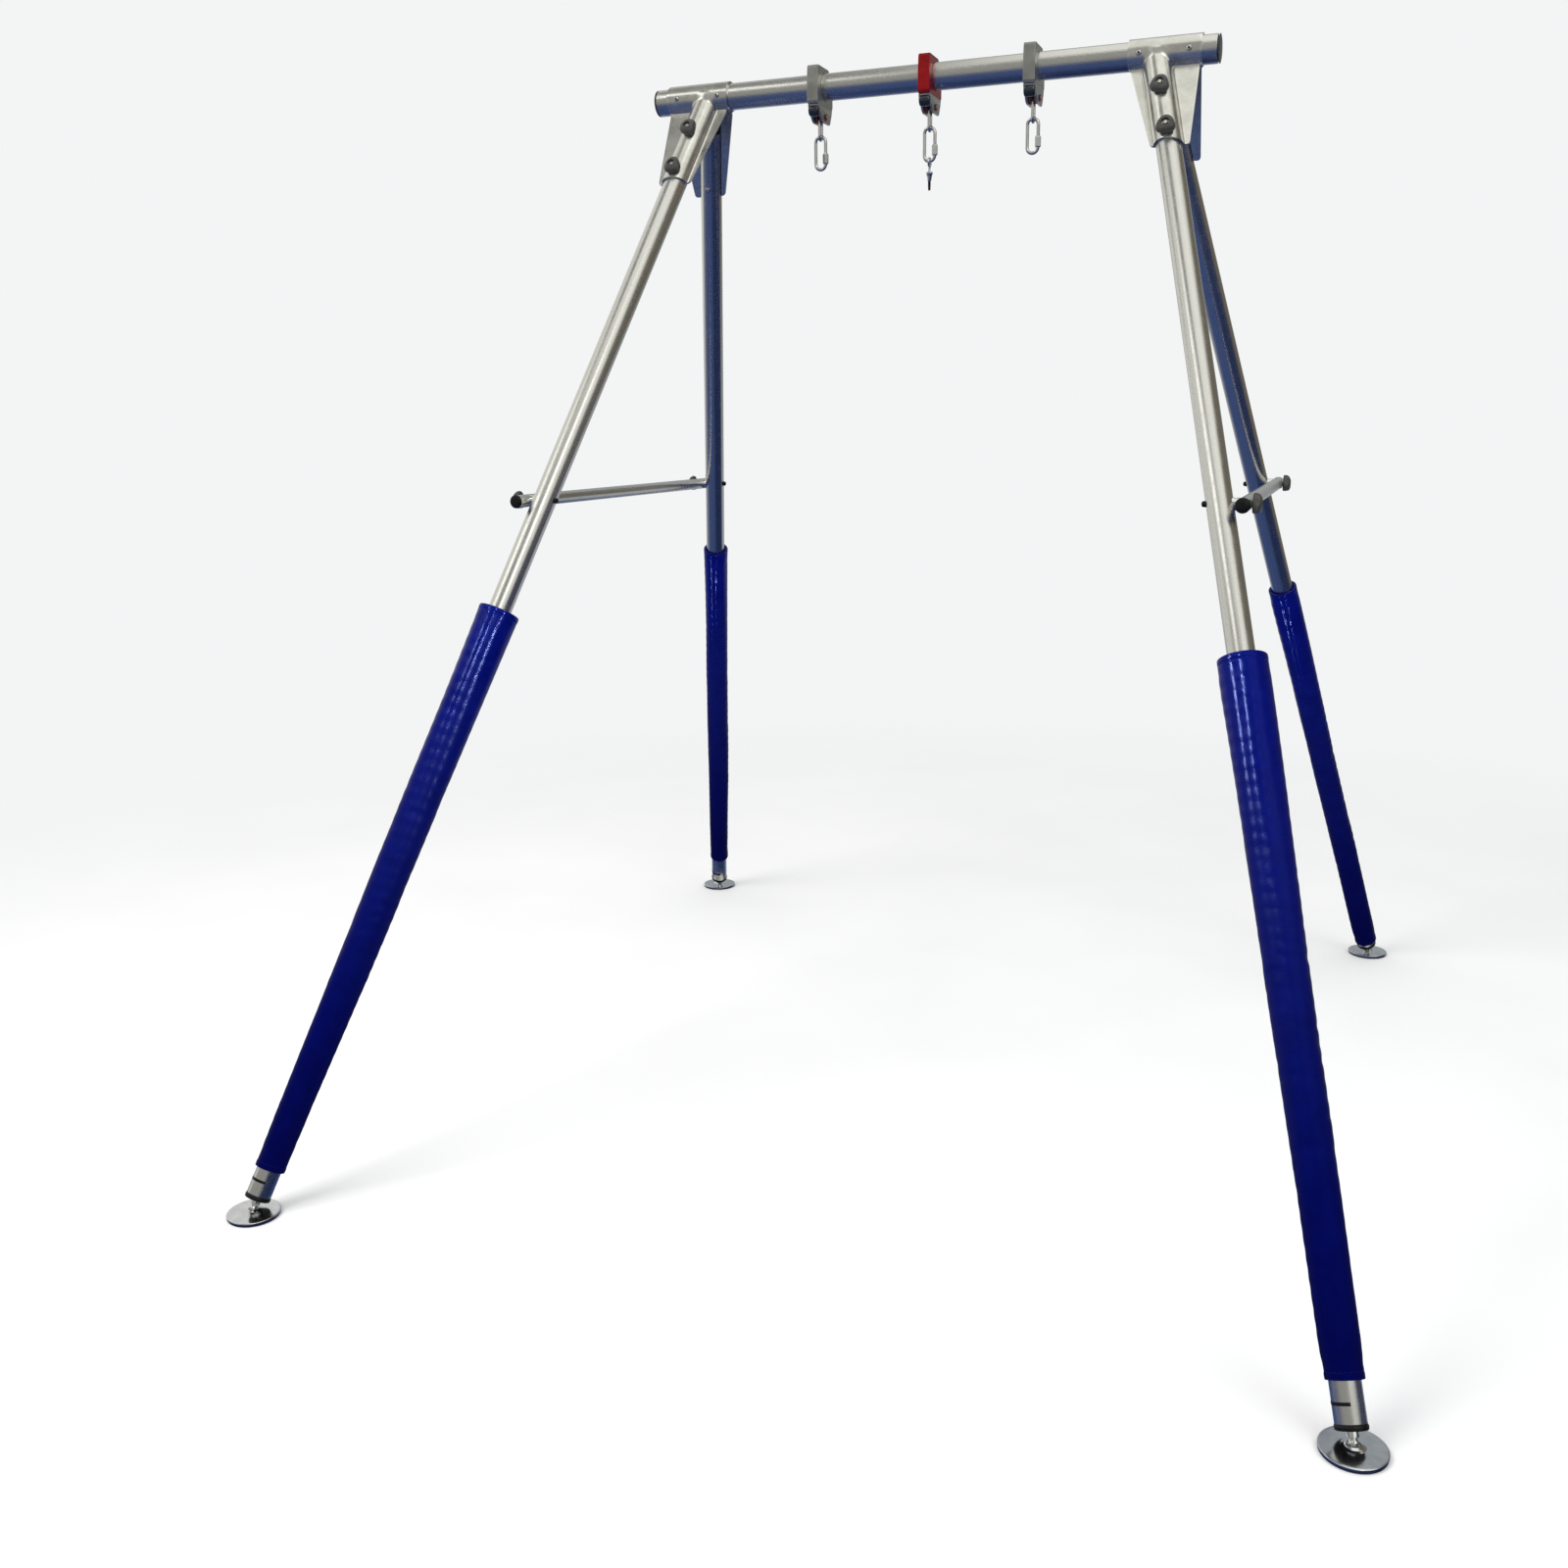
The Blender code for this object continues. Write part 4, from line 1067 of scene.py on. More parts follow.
def build_brace(side, sign):
    low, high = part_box("brace_" + side)
    x, z = (low.x + high.x) / 2, (low.z + high.z) / 2
    radius, half = (high.z - low.z) / 2, (high.y - low.y) / 2
    tube = lathe(
        tube_profile(radius, 0.002, -half, half, (0.0005, 0.0005, 0.0003, 0.0003)),
        96, frame_of((x, 0, z), ALONG_Y), closed=True,
    )
    piece(
        "brace_%s_tube_skin" % side, tube, "root", ALUMINIUM, "brace_" + side
    )
    caps, saddles = [], []
    for end, end_sign in Y_ENDS.items():
        caps.append(brace_cap(radius, (x, end_sign * half, z), end_sign))
        node = "brace_knob_%s_%s" % (end, side)
        knob = place_of(node + "_turn")
        leg = LEGS[end + "_" + side]
        centre = leg.at((knob[2] - leg.top[2]) / leg.axis[2])
        leg_face = abs(centre[0]) + LEG_R
        gap = abs(x) - radius - leg_face
        saddles.append(brace_saddle(gap, (sign * leg_face, centre[1], centre[2]), sign))
        depth = abs(knob[0]) - abs(centre[0]) + LEG_R
        reach = depth + 0.007
        matrix = frame_of(knob, (sign, 0, 0))
        cap = knob_cap(matrix, reach, depth - 0.0006)
        grip = joined([knob_grip(matrix), cap], [KNOB, BLACK])
        piece(node + "_grip", grip, node, None, node, sharp=50)
        piece(node + "_bolt", joined(knob_bolt(matrix, reach)), node, ZINC)
    piece("brace_%s_end_caps" % side, joined(caps), "root", BLACK, sharp=35)
    piece("brace_%s_saddles" % side, joined(saddles), "root", CHROME, sharp=35)


for side, sign in X_SIDES.items():
    build_brace(side, sign)

# ------------------------------------------------------------------ beam clamps
# Outlines are (y, z from the beam axis, fillet).
BLOCK = [
    (-0.046, 0.036, 0.004), (-0.043, 0.0405, 0.003), (0.024, 0.0405, 0.004),
    (0.051, 0.015, 0.005), (0.051, -0.036, 0.003), (0.048, -0.0395, 0.002),
    (-0.045, -0.0395, 0.002), (-0.049, -0.034, 0.006), (-0.05, 0, 0.08),
]
CHEEK = [
    (-0.043, -0.0398, 0.001), (0.047, -0.0398, 0.001), (0.044, -0.05, 0.002),
    (0.033, -0.0725, 0.006), (0.029, -0.075, 0.003), (-0.008, -0.075, 0.004),
    (-0.018, -0.071, 0.006), (-0.04, -0.048, 0.003),
]
CROWN = [
    (-0.0425, -0.0399, 0.0008), (0.0465, -0.0399, 0.0008),
    (0.0452, -0.044, 0.001), (-0.0415, -0.044, 0.001),
]
CHEEK_INNER = 0.0085  # from the clamp's middle to a cheek's inner face
CROWN_WIDTH = 0.018
BLOCK_ROUND = 0.0016
BORE_CHAMFER = 0.001
STOP = [
    (0, 0.0126, 0), (0.007, 0.0126, 0.001), (0.0112, 0.0118, 0.003), (0.0124, 0.008, 0.004),
    (0.0126, 0, 0.01), (0.0124, -0.008, 0.004), (0.0112, -0.0118, 0.003),
    (0.007, -0.0126, 0.001), (0, -0.0126, 0),
]
AXLE_R = 0.004
AXLE = [
    (0, 0.0176, 0), (0.003, 0.0176, 0.0006), (AXLE_R, 0.0166, 0.0003),
    (AXLE_R, -0.0166, 0.0003), (0.003, -0.0176, 0.0006), (0, -0.0176, 0),
]
# (near end, far end, radius) of the bushes on each half of the pin
BUSHES = ((0.0043, 0.0082, 0.0112), (0.0133, 0.0158, 0.0070))
_, PIN_Y, PIN_Z = place_of("hanger_left_swing")

LINK_BEND, LINK_R = 0.0077, 0.0032  # hanger link: bend and wire radius
BAR_BEND, BAR_R = 0.01175, 0.00375  # quick link: bend and bar radius
GAP_TOP, GAP_BOTTOM = -0.145, -0.154  # quick link's opening, from the beam axis
# (start from the opening's end, end from it) of the upper and lower threads
QUICK_THREADS = ((GAP_TOP, 0.0004, 0.0125), (GAP_BOTTOM, -0.0045, -0.0004))
QUICK_PITCH = 0.001


def side_frame(x):
    """Local X is world Y, local Y is world Z, about the beam axis at x."""
    return frame_of((x, 0, BEAM_Z), ALONG_X, ALONG_Y)


def outline_reach(outline, angle):
    """Distance from the origin to a closed outline at an angle."""
    ray = np.array((math.cos(angle), math.sin(angle)))
    best = 0.0
    for p, q in zip(outline, np.roll(outline, -1, 0)):
        edge = q - p
        det = edge[0] * ray[1] - edge[1] * ray[0]
        if abs(det) < 1e-12:
            continue
        reach = (p[1] * edge[0] - p[0] * edge[1]) / det
        share = (ray[0] * p[1] - ray[1] * p[0]) / det
        if reach > 0 and -1e-6 <= share <= 1 + 1e-6:
            best = max(best, reach)
    return best


def block_mesh(x, half):
    """Clamp block: the outline about the bore, with rounded outer edges, chamfered bore."""
    ring = fillet(BLOCK, True, 6)
    extra = np.radians(np.arange(-180, 180, 5.0))
    t = np.unique(np.round(np.r_[np.arctan2(ring[:, 1], ring[:, 0]), extra], 5))
    outer = np.array([outline_reach(ring, angle) for angle in t])
    bore = np.full_like(outer, BEAM_BORE)
    flat = outer - BLOCK_ROUND
    level = half - BLOCK_ROUND
    quarter = np.radians(np.linspace(0, 90, 5))
    rows = [(bore, -half + BORE_CHAMFER), (bore + BORE_CHAMFER, -half)]
    for q in quarter:
        rows.append((flat + BLOCK_ROUND * math.sin(q), -level - BLOCK_ROUND * math.cos(q)))
    for q in quarter:
        rows.append((flat + BLOCK_ROUND * math.cos(q), level + BLOCK_ROUND * math.sin(q)))
    rows += [(bore + BORE_CHAMFER, half), (bore, half - BORE_CHAMFER)]
    points = np.array(
        [np.stack([r * np.cos(t), r * np.sin(t), np.full_like(t, z)], axis=1) for r, z in rows]
    )
    along = np.arange(len(rows) + 1) * 0.01
    around = np.r_[t, t[0] + 2 * math.pi] * 0.04
    return grid(moved(points, side_frame(x)), along, around, wrap_rows=True, wrap_cols=True)


def build_clamp(side, finish):
    node = "clamp_block_" + side
    low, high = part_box(node)
    x, half = (low.x + high.x) / 2, (high.x - low.x) / 2
    body = "clamp_" + side
    block = block_mesh(x, half)
    piece(body + "_body", block, body, finish, node, sharp=38, weighted=True)

    hole = (PIN_Y, PIN_Z - BEAM_Z, 0.0043)
    plates = []
    for sign in (-1, 1):
        matrix = side_frame(x + sign * (half + CHEEK_INNER) / 2)
        plates.append(plate(CHEEK, half - CHEEK_INNER, 0.0007, matrix, holes=[hole]))
    plates.append(plate(CROWN, CROWN_WIDTH, 0.0003, side_frame(x)))
    piece(
        body + "_cheeks", joined(plates),
        body, STEEL, "clamp_yoke_" + side, sharp=30, weighted=True,
    )

    # rubber stop under the front of the block
    stop = lathe(STOP, 56, frame_of((x, -0.0335, BEAM_Z - 0.0525), ALONG_X))
    piece(body + "_rubber_stop", stop, body, GLOSS_BLACK)

    pin = frame_of((x, PIN_Y, PIN_Z), ALONG_X)
    parts = [lathe(AXLE, 32, pin)]
    for sign in (-1, 1):
        for near, far, radius in BUSHES:
            start, end = sorted((sign * near, sign * far))
            profile = collar_profile(AXLE_R, radius, start, end, 0.0008)
            parts.append(lathe(profile, 48, pin, closed=True))
    piece(
        body + "_pin_and_bushes", joined(parts, [ZINC] + [BUSH] * 4),
        body, None, "clamp_pin_" + side, sharp=35,
    )
    return x


def build_hanger_link(side, x):
    bottom = place_of("quick_link_%s_swing" % side)[2] - PIN_Z + LINK_BEND
    path = spread([(0.0, y, z) for y, z in stadium(LINK_BEND, 0.0, bottom)], closed=True)
    link = sweep(path + np.array((x, PIN_Y, PIN_Z)), LINK_R, 20, closed=True)
    piece(
        "hanger_%s_steel_link" % side, link,
        "hanger_" + side, CHROME, "hanger_link_" + side, sharp=60,
    )


def build_quick_link(side):
    """Open link with threaded ends at its gap."""
    node = "quick_link_" + side
    place = place_of(node + "_swing")
    low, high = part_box(node)
    top = high.z - place[2] - BAR_R - BAR_BEND
    bottom = low.z - place[2] + BAR_R + BAR_BEND
    drop = BEAM_Z - place[2]
    path = [(BAR_BEND, GAP_TOP + drop), *stadium(BAR_BEND, top, bottom)]
    path.append((BAR_BEND, GAP_BOTTOM + drop))
    parts = [sweep(spread([(x, 0.0, z) for x, z in path]) + place, BAR_R, 24)]
    matrix = frame_of((place[0] + BAR_BEND, place[1], place[2]), UP, ALONG_X)
    root, crest = BAR_R + 0.00005, BAR_R + 0.0003
    for gap_end, start, end in QUICK_THREADS:
        start, end = gap_end + drop + start, gap_end + drop + end
        profile = [(0.003, start, 0)]
        for z in np.arange(start + 0.0003, end - QUICK_PITCH, QUICK_PITCH):
            profile += [
                (root, z, 0), (crest, z + 0.0003, 0), (crest, z + 0.0005, 0),
                (root, z + 0.0008, 0),
            ]
        profile.append((0.003, end, 0))
        parts.append(lathe(profile, 24, matrix, closed=True))
    piece(node + "_bar", joined(parts), node, CHROME, node, sharp=50)


def hexagon(radius, _, angle):
    """Trims all but the end faces to flats 5.75 mm from the axis."""
    flats = 0.00575 / np.cos((angle + math.pi / 6) % (math.pi / 3) - math.pi / 6)
    return np.where(radius > 0.0052, np.minimum(radius, flats), radius * np.ones_like(angle))


def build_sleeve_nut(side):
    node = "sleeve_nut_" + side
    low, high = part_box(node)
    height = high.z - low.z
    half_profile = [  # (radius, distance from the end, fillet)
        (0.0043, 0.0004, 0.0003), (0.0054, 0, 0.0002), (0.0061, 0.001, 0.0003),
        (0.0068, 0.0022, 0.0006),
    ]
    profile = half_profile + [(r, height - z, f) for r, z, f in reversed(half_profile)]
    y = place_of("quick_link_%s_swing" % side)[1]
    matrix = frame_of(((low.x + high.x) / 2, y, low.z), UP, ALONG_X)
    nut = lathe(profile, 72, matrix, closed=True, shape=hexagon)
    piece(node + "_hex", nut, node, ZINC, node, sharp=30)


for side, finish, slot in (
    ("left", GREY_BLOCK, "clamp_grey"),
    ("center", RED_BLOCK, "clamp_red"),
    ("right", GREY_BLOCK, "clamp_grey"),
):
    clamp_x = build_clamp(side, finish)
    build_hanger_link(side, clamp_x)
    build_quick_link(side)
    build_sleeve_nut(side)

# ------------------------------------------------------------------ swivel eye
EYE_WIRE_R, EYE_BEND = 0.0025, 0.0085
# heights from the bottom of the ring's centre line
EYE_STEM = [
    (0, 0.0012, 0), (0.0028, 0, 0.001), (0.0024, -0.004, 0.001), (0.0024, -0.0105, 0.0004),
    (0.006, -0.0112, 0.0006), (0.0075, -0.0128, 0.0008), (0.0075, -0.015, 0.001),
    (0.0058, -0.0205, 0.003), (0.0042, -0.03, 0.001), (0.0034, -0.0312, 0.0004),
    (0, -0.0312, 0),
]
EYE_TIP = [
    (0, -0.0305, 0), (0.0029, -0.0305, 0), (0.0031, -0.034, 0.001), (0.0028, -0.048, 0.001),
    (0.0016, -0.0502, 0.0006), (0, -0.0505, 0),
]


def build_swivel_eye():
    eye = place_of("swivel_eye_swing")
    centre = BAR_R + EYE_WIRE_R + 0.0004 - EYE_BEND
    path = np.array([(0.0, y, z) for y, z in arc(centre, EYE_BEND, 0, 352, 45)])
    ring = sweep(path + eye, EYE_WIRE_R, 18, closed=True)
    matrix = frame_of(eye + (0, 0, centre - EYE_BEND), UP, ALONG_X)
    hook = joined([ring, lathe(EYE_STEM, 40, matrix)])
    piece("swivel_eye_hook", hook, "swivel_eye", CHROME, "swivel_eye")
    tip = lathe(EYE_TIP, 32, matrix)
    piece("swivel_eye_black_tip", tip, "swivel_eye", BLACK)


build_swivel_eye()

# ------------------------------------------------------------------ padded sleeves
PAD_BORE = 0.0262
PAD_COLS = 44
HEM = 0.0125  # hem seam, from each end
STITCH_PITCH = 0.0085
STITCH_LENGTH = 0.0055
SEAM_START = 0.016  # side seam, from each end
SEAM_ANGLE = 0.27
# (share of the stitch, lift off the skin, thread radius)
STITCH_RINGS = (
    (0.0, -0.0006, 0.00022), (0.14, 0.0, 0.00034), (0.5, 0.0001, 0.00038),
    (0.86, 0.0, 0.00034), (1.0, -0.0006, 0.00022),
)


def pad_rows(length):
    """Distances of the skin's rings from the top: close together at the hems, even between."""
    ends = np.r_[np.arange(0.0, 0.020, 0.0017), 0.0215, 0.0240, 0.0275]
    middle = np.linspace(0.032, length - 0.032, 190)
    return np.r_[ends, middle, length - ends[::-1]]


def bell(x, centre, width):
    return np.exp(-(((x - centre) / width) ** 2))


def pad_points(leg, start, rows, radii, scale):
    """Outer skin of one pad: slightly ribbed along its length, with a lapped edge and a
    groove beside it.  radii are at the top and the foot."""
    length = rows[-1]
    x, y, z = axes(leg.axis, ALONG_Y)
    seed = 1.7 * leg.x_sign + 3.1 * leg.y_sign
    angles = np.linspace(0, 2 * math.pi, PAD_COLS + 1)[:-1]
    S, T = np.meshgrid(rows, angles, indexing="ij")
    base = radii[0] + (radii[1] - radii[0]) * (S / length) ** 1.05
    base = base + 0.0003 * np.exp(-S / 0.02) - 0.0003 * bell(S, 0.026, 0.012)
    base = base - 0.0008 * bell(length - S, 0.024, 0.014)
    phase = S / 0.0285 + 0.35 * np.sin(S / 0.21 + seed) + 0.10 * np.sin(2 * T + seed + 3 * S)
    ribs = 0.00032 * np.sin(2 * math.pi * phase) * (0.65 + 0.35 * np.sin(T + seed * 2 + S * 5))
    slack = 0.0011 * np.sin(5.3 * S + 2 * T + seed) + 0.0007 * np.sin(9.7 * S - 3 * T + 2 * seed)
    slack = slack + 0.00012 * np.sin(19 * T + 1.4 * np.sin(7.0 * S + seed) + seed)
    inside = smooth_step(S, 0.004, 0.05) * smooth_step(length - S, 0.004, 0.05)
    hem = -0.0002 * (bell(S, HEM, 0.003) + bell(length - S, HEM, 0.003))
    lap = 0.0013 * smooth_step(T, 0.16, 0.20) * (1 - smooth_step(T, 0.9, 3.0))
    groove = -0.0014 * bell(T, 0.14, 0.035)
    radius = ((base + (ribs + slack) * inside + lap + groove + hem) * scale)[..., None]
    round_leg = np.cos(T)[..., None] * x + np.sin(T)[..., None] * y
    return leg.at(start) + S[..., None] * z + radius * round_leg


def inflate(points, limit=0.0006):
    """Cloth with inner pressure, held at both hems and along the first two columns; no point
    moves further than limit."""
    rows, cols = points.shape[:2]
    faces = cell_faces(grid_cells(rows, cols, wrap_cols=True), rows, cols)
    mesh = mesh_from(points.reshape(-1, 3), faces)
    pins = np.zeros((rows, cols), bool)
    pins[:3] = pins[-3:] = True
    pins[:, :2] = True
    obj = new_object("pad_cloth", mesh)
    group = obj.vertex_groups.new(name="pin")
    group.add(np.flatnonzero(pins).tolist(), 1.0, "REPLACE")
    before = np.zeros(len(mesh.vertices) * 3, np.float32)
    mesh.vertices.foreach_get("co", before)
    cloth = obj.modifiers.new("cloth", "CLOTH")
    settings = cloth.settings
    settings.quality = 6
    settings.mass = 0.25
    settings.use_pressure = True
    settings.uniform_pressure_force = 4.0
    settings.effector_weights.gravity = 0.0
    settings.tension_stiffness = 18
    settings.compression_stiffness = 18
    settings.shear_stiffness = 8
    settings.bending_stiffness = 0.6
    settings.shrink_min = -0.009
    settings.vertex_group_mass = "pin"
    settings.pin_stiffness = 1.0
    cloth.collision_settings.use_collision = False
    scene = bpy.context.scene
    for number in range(1, 21):
        scene.frame_set(number)
    graph = bpy.context.evaluated_depsgraph_get()
    after = np.zeros_like(before)
    obj.evaluated_get(graph).data.vertices.foreach_get("co", after)
    scene.frame_set(1)
    bpy.data.objects.remove(obj, do_unlink=True)
    before, after = before.reshape(-1, 3).astype(float), after.reshape(-1, 3).astype(float)
    shift = after - before
    size = np.linalg.norm(shift, axis=1)[:, None]
    shift = shift * np.minimum(1, limit / np.maximum(size, 1e-9))
    return (before + shift).reshape(points.shape)


def stitches(skin, spans):
    """Short raised threads on the skin.  spans lists (row, column) start and end pairs."""
    rows, cols = skin.shape[:2]
    middle = skin.reshape(-1, 3).mean(0)
    axis = unit(skin[-1].mean(0) - skin[0].mean(0))
    ring_cells = cell_faces(grid_cells(5, 6, wrap_cols=True), 5, 6)
    ring_cells += [range(6), range(24, 30)]

    def skin_at(i, j):
        """Point and unit normal at a fractional row and column."""
        i = min(max(i, 0.0), rows - 1.001)
        row, col = int(i), int(math.floor(j))
        u, v = i - row, j - col
        a, b = skin[row, col % cols], skin[row, (col + 1) % cols]
        c, d = skin[row + 1, col % cols], skin[row + 1, (col + 1) % cols]
        point = a * (1 - u) * (1 - v) + b * (1 - u) * v + c * u * (1 - v) + d * u * v
        return point, unit(np.cross(b - a, c - a))

    verts, faces = [], []
    for start, end in np.array(spans):
        first = len(verts)
        for share, lift, radius in STITCH_RINGS:
            point, normal = skin_at(*(start + (end - start) * share))
            ahead, _ = skin_at(*(start + (end - start) * min(1, share + 0.05)))
            behind, _ = skin_at(*(start + (end - start) * max(0, share - 0.05)))
            out = (point - middle) - ((point - middle) @ axis) * axis
            if normal @ out < 0:
                normal = -normal
            side = np.cross(unit(ahead - behind), normal)
            for k in range(6):
                a = 2 * math.pi * k / 6
                spoke = math.cos(a) * normal + math.sin(a) * side
                verts.append(point + lift * normal + radius * spoke)
        faces += [[first + v for v in cell] for cell in ring_cells]
    return tidy(mesh_from(verts, faces), merge=1e-8)


def stitch_spans(rows, radii):
    """The side seam and the two hem seams."""
    length = rows[-1]

    def row_at(distance):
        return float(np.interp(distance, rows, np.arange(len(rows))))

    seam_col = SEAM_ANGLE * PAD_COLS / (2 * math.pi)
    spans = [
        ((row_at(s), seam_col), (row_at(s + STITCH_LENGTH), seam_col))
        for s in np.arange(SEAM_START, length - SEAM_START, STITCH_PITCH)
    ]
    for distance, radius in zip((HEM, length - HEM), radii):
        row = row_at(distance)
        count = int(2 * math.pi * radius / STITCH_PITCH)
        for k in range(count):
            col = PAD_COLS * k / count
            spans.append(((row, col), (row, col + PAD_COLS * 0.65 / count)))
    return spans


def turned_in(leg, ring, profile):
    """Rings drawn in from an end ring; profile is (height above the bore, lift along leg)."""
    base = leg.at(float((ring.mean(0) - leg.top) @ leg.axis))
    spokes = ring - base
    spokes = spokes - (spokes @ leg.axis)[:, None] * leg.axis
    reach = np.linalg.norm(spokes, axis=1)[:, None]
    return np.array([
        base + spokes / reach * np.minimum(reach, PAD_BORE + rise) + lift * leg.axis
        for rise, lift in profile
    ])


def build_pad(name, leg):
    node = "leg_pad_" + name
    start, end = leg.station(node)
    along, radius = leg.measure(node)
    radii = float(radius[along < start + 0.01].max()), float(radius[along > end - 0.01].max())
    rows = pad_rows(end - start)
    skin = pad_points(leg, start, rows, radii, scale=0.990)
    skin = inflate(skin)

    # the cover turns in over both foam ends and runs back along the bore
    top_foam, foot_foam = radii[0] - PAD_BORE, radii[1] - PAD_BORE
    top_turn = [(0, 0.020), (0, 0.004), (0.0015, 0.0008)]
    top_turn += [(top_foam * share, 0) for share in (0.35, 0.7, 0.92)]
    foot_turn = [(foot_foam * share, 0) for share in (0.9, 0.5)]
    foot_turn += [(0.0006, -0.0008), (0, -0.004), (0, -0.020)]
    points = np.concatenate(
        [turned_in(leg, skin[0], top_turn), skin, turned_in(leg, skin[-1], foot_turn)]
    )
    step = np.r_[
        -0.046, -0.030, -0.026, -0.018, -0.010, -0.003, rows,
        rows[-1] + np.array([0.001, 0.004, 0.008, 0.012, 0.028]), -0.046,
    ]
    around = np.linspace(0, 2 * math.pi, PAD_COLS + 1) * 0.036
    mesh = grid(points, step, around, wrap_rows=True, wrap_cols=True)
    cover = piece(node + "_cover", mesh, "root", VINYL, node, sharp=60)
    smooth = cover.modifiers.new("smooth", "SUBSURF")
    smooth.levels = 1
    smooth.render_levels = 1
    seams = stitches(skin, stitch_spans(rows, radii))
    piece(node + "_stitching", seams, "root", THREAD, sharp=60)


for name, leg in LEGS.items():
    build_pad(name, leg)

# ------------------------------------------------------------------ floor
scene = bpy.context.scene
scene.view_settings.view_transform = "Standard"
scene.view_settings.look = "None"
scene.view_settings.exposure = 0.0
PALE = (0.90, 0.905, 0.91)


def pale_floor():
    """Matt and pale, turning into a plain glow away from the middle."""
    s = Shader("pale_floor")
    distance = s.add("ShaderNodeVectorMath", operation="LENGTH")
    s.join(s.add("ShaderNodeNewGeometry").outputs["Position"], distance.inputs[0])
    away = s.fit(distance.outputs["Value"], 2.2, 4.6)
    tint = s.fit(s.noise(s.space(), scale=1.3, detail=2.0), 0.3, 0.7)
    s.finish(Base_Color=s.blend(tint, (0.80, 0.805, 0.81), (0.84, 0.845, 0.85)), Roughness=0.9)
    glow = s.add("ShaderNodeEmission")
    glow.inputs["Color"].default_value = (*PALE, 1.0)
    mixer = s.add("ShaderNodeMixShader")
    for socket, source in zip(mixer.inputs, (away, s.surface.outputs[0], glow.outputs[0])):
        s.join(source, socket)
    s.join(mixer.outputs[0], s.output.inputs[0])
    return s.material


bm = bmesh.new()
bmesh.ops.create_grid(bm, x_segments=1, y_segments=1, size=30.0)
floor_mesh = bpy.data.meshes.new("floor")
bm.to_mesh(floor_mesh)
bm.free()
floor = new_object("floor", floor_mesh)
floor.location.z = -0.0004
floor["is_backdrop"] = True
floor.visible_glossy = False
floor_mesh.materials.append(pale_floor())


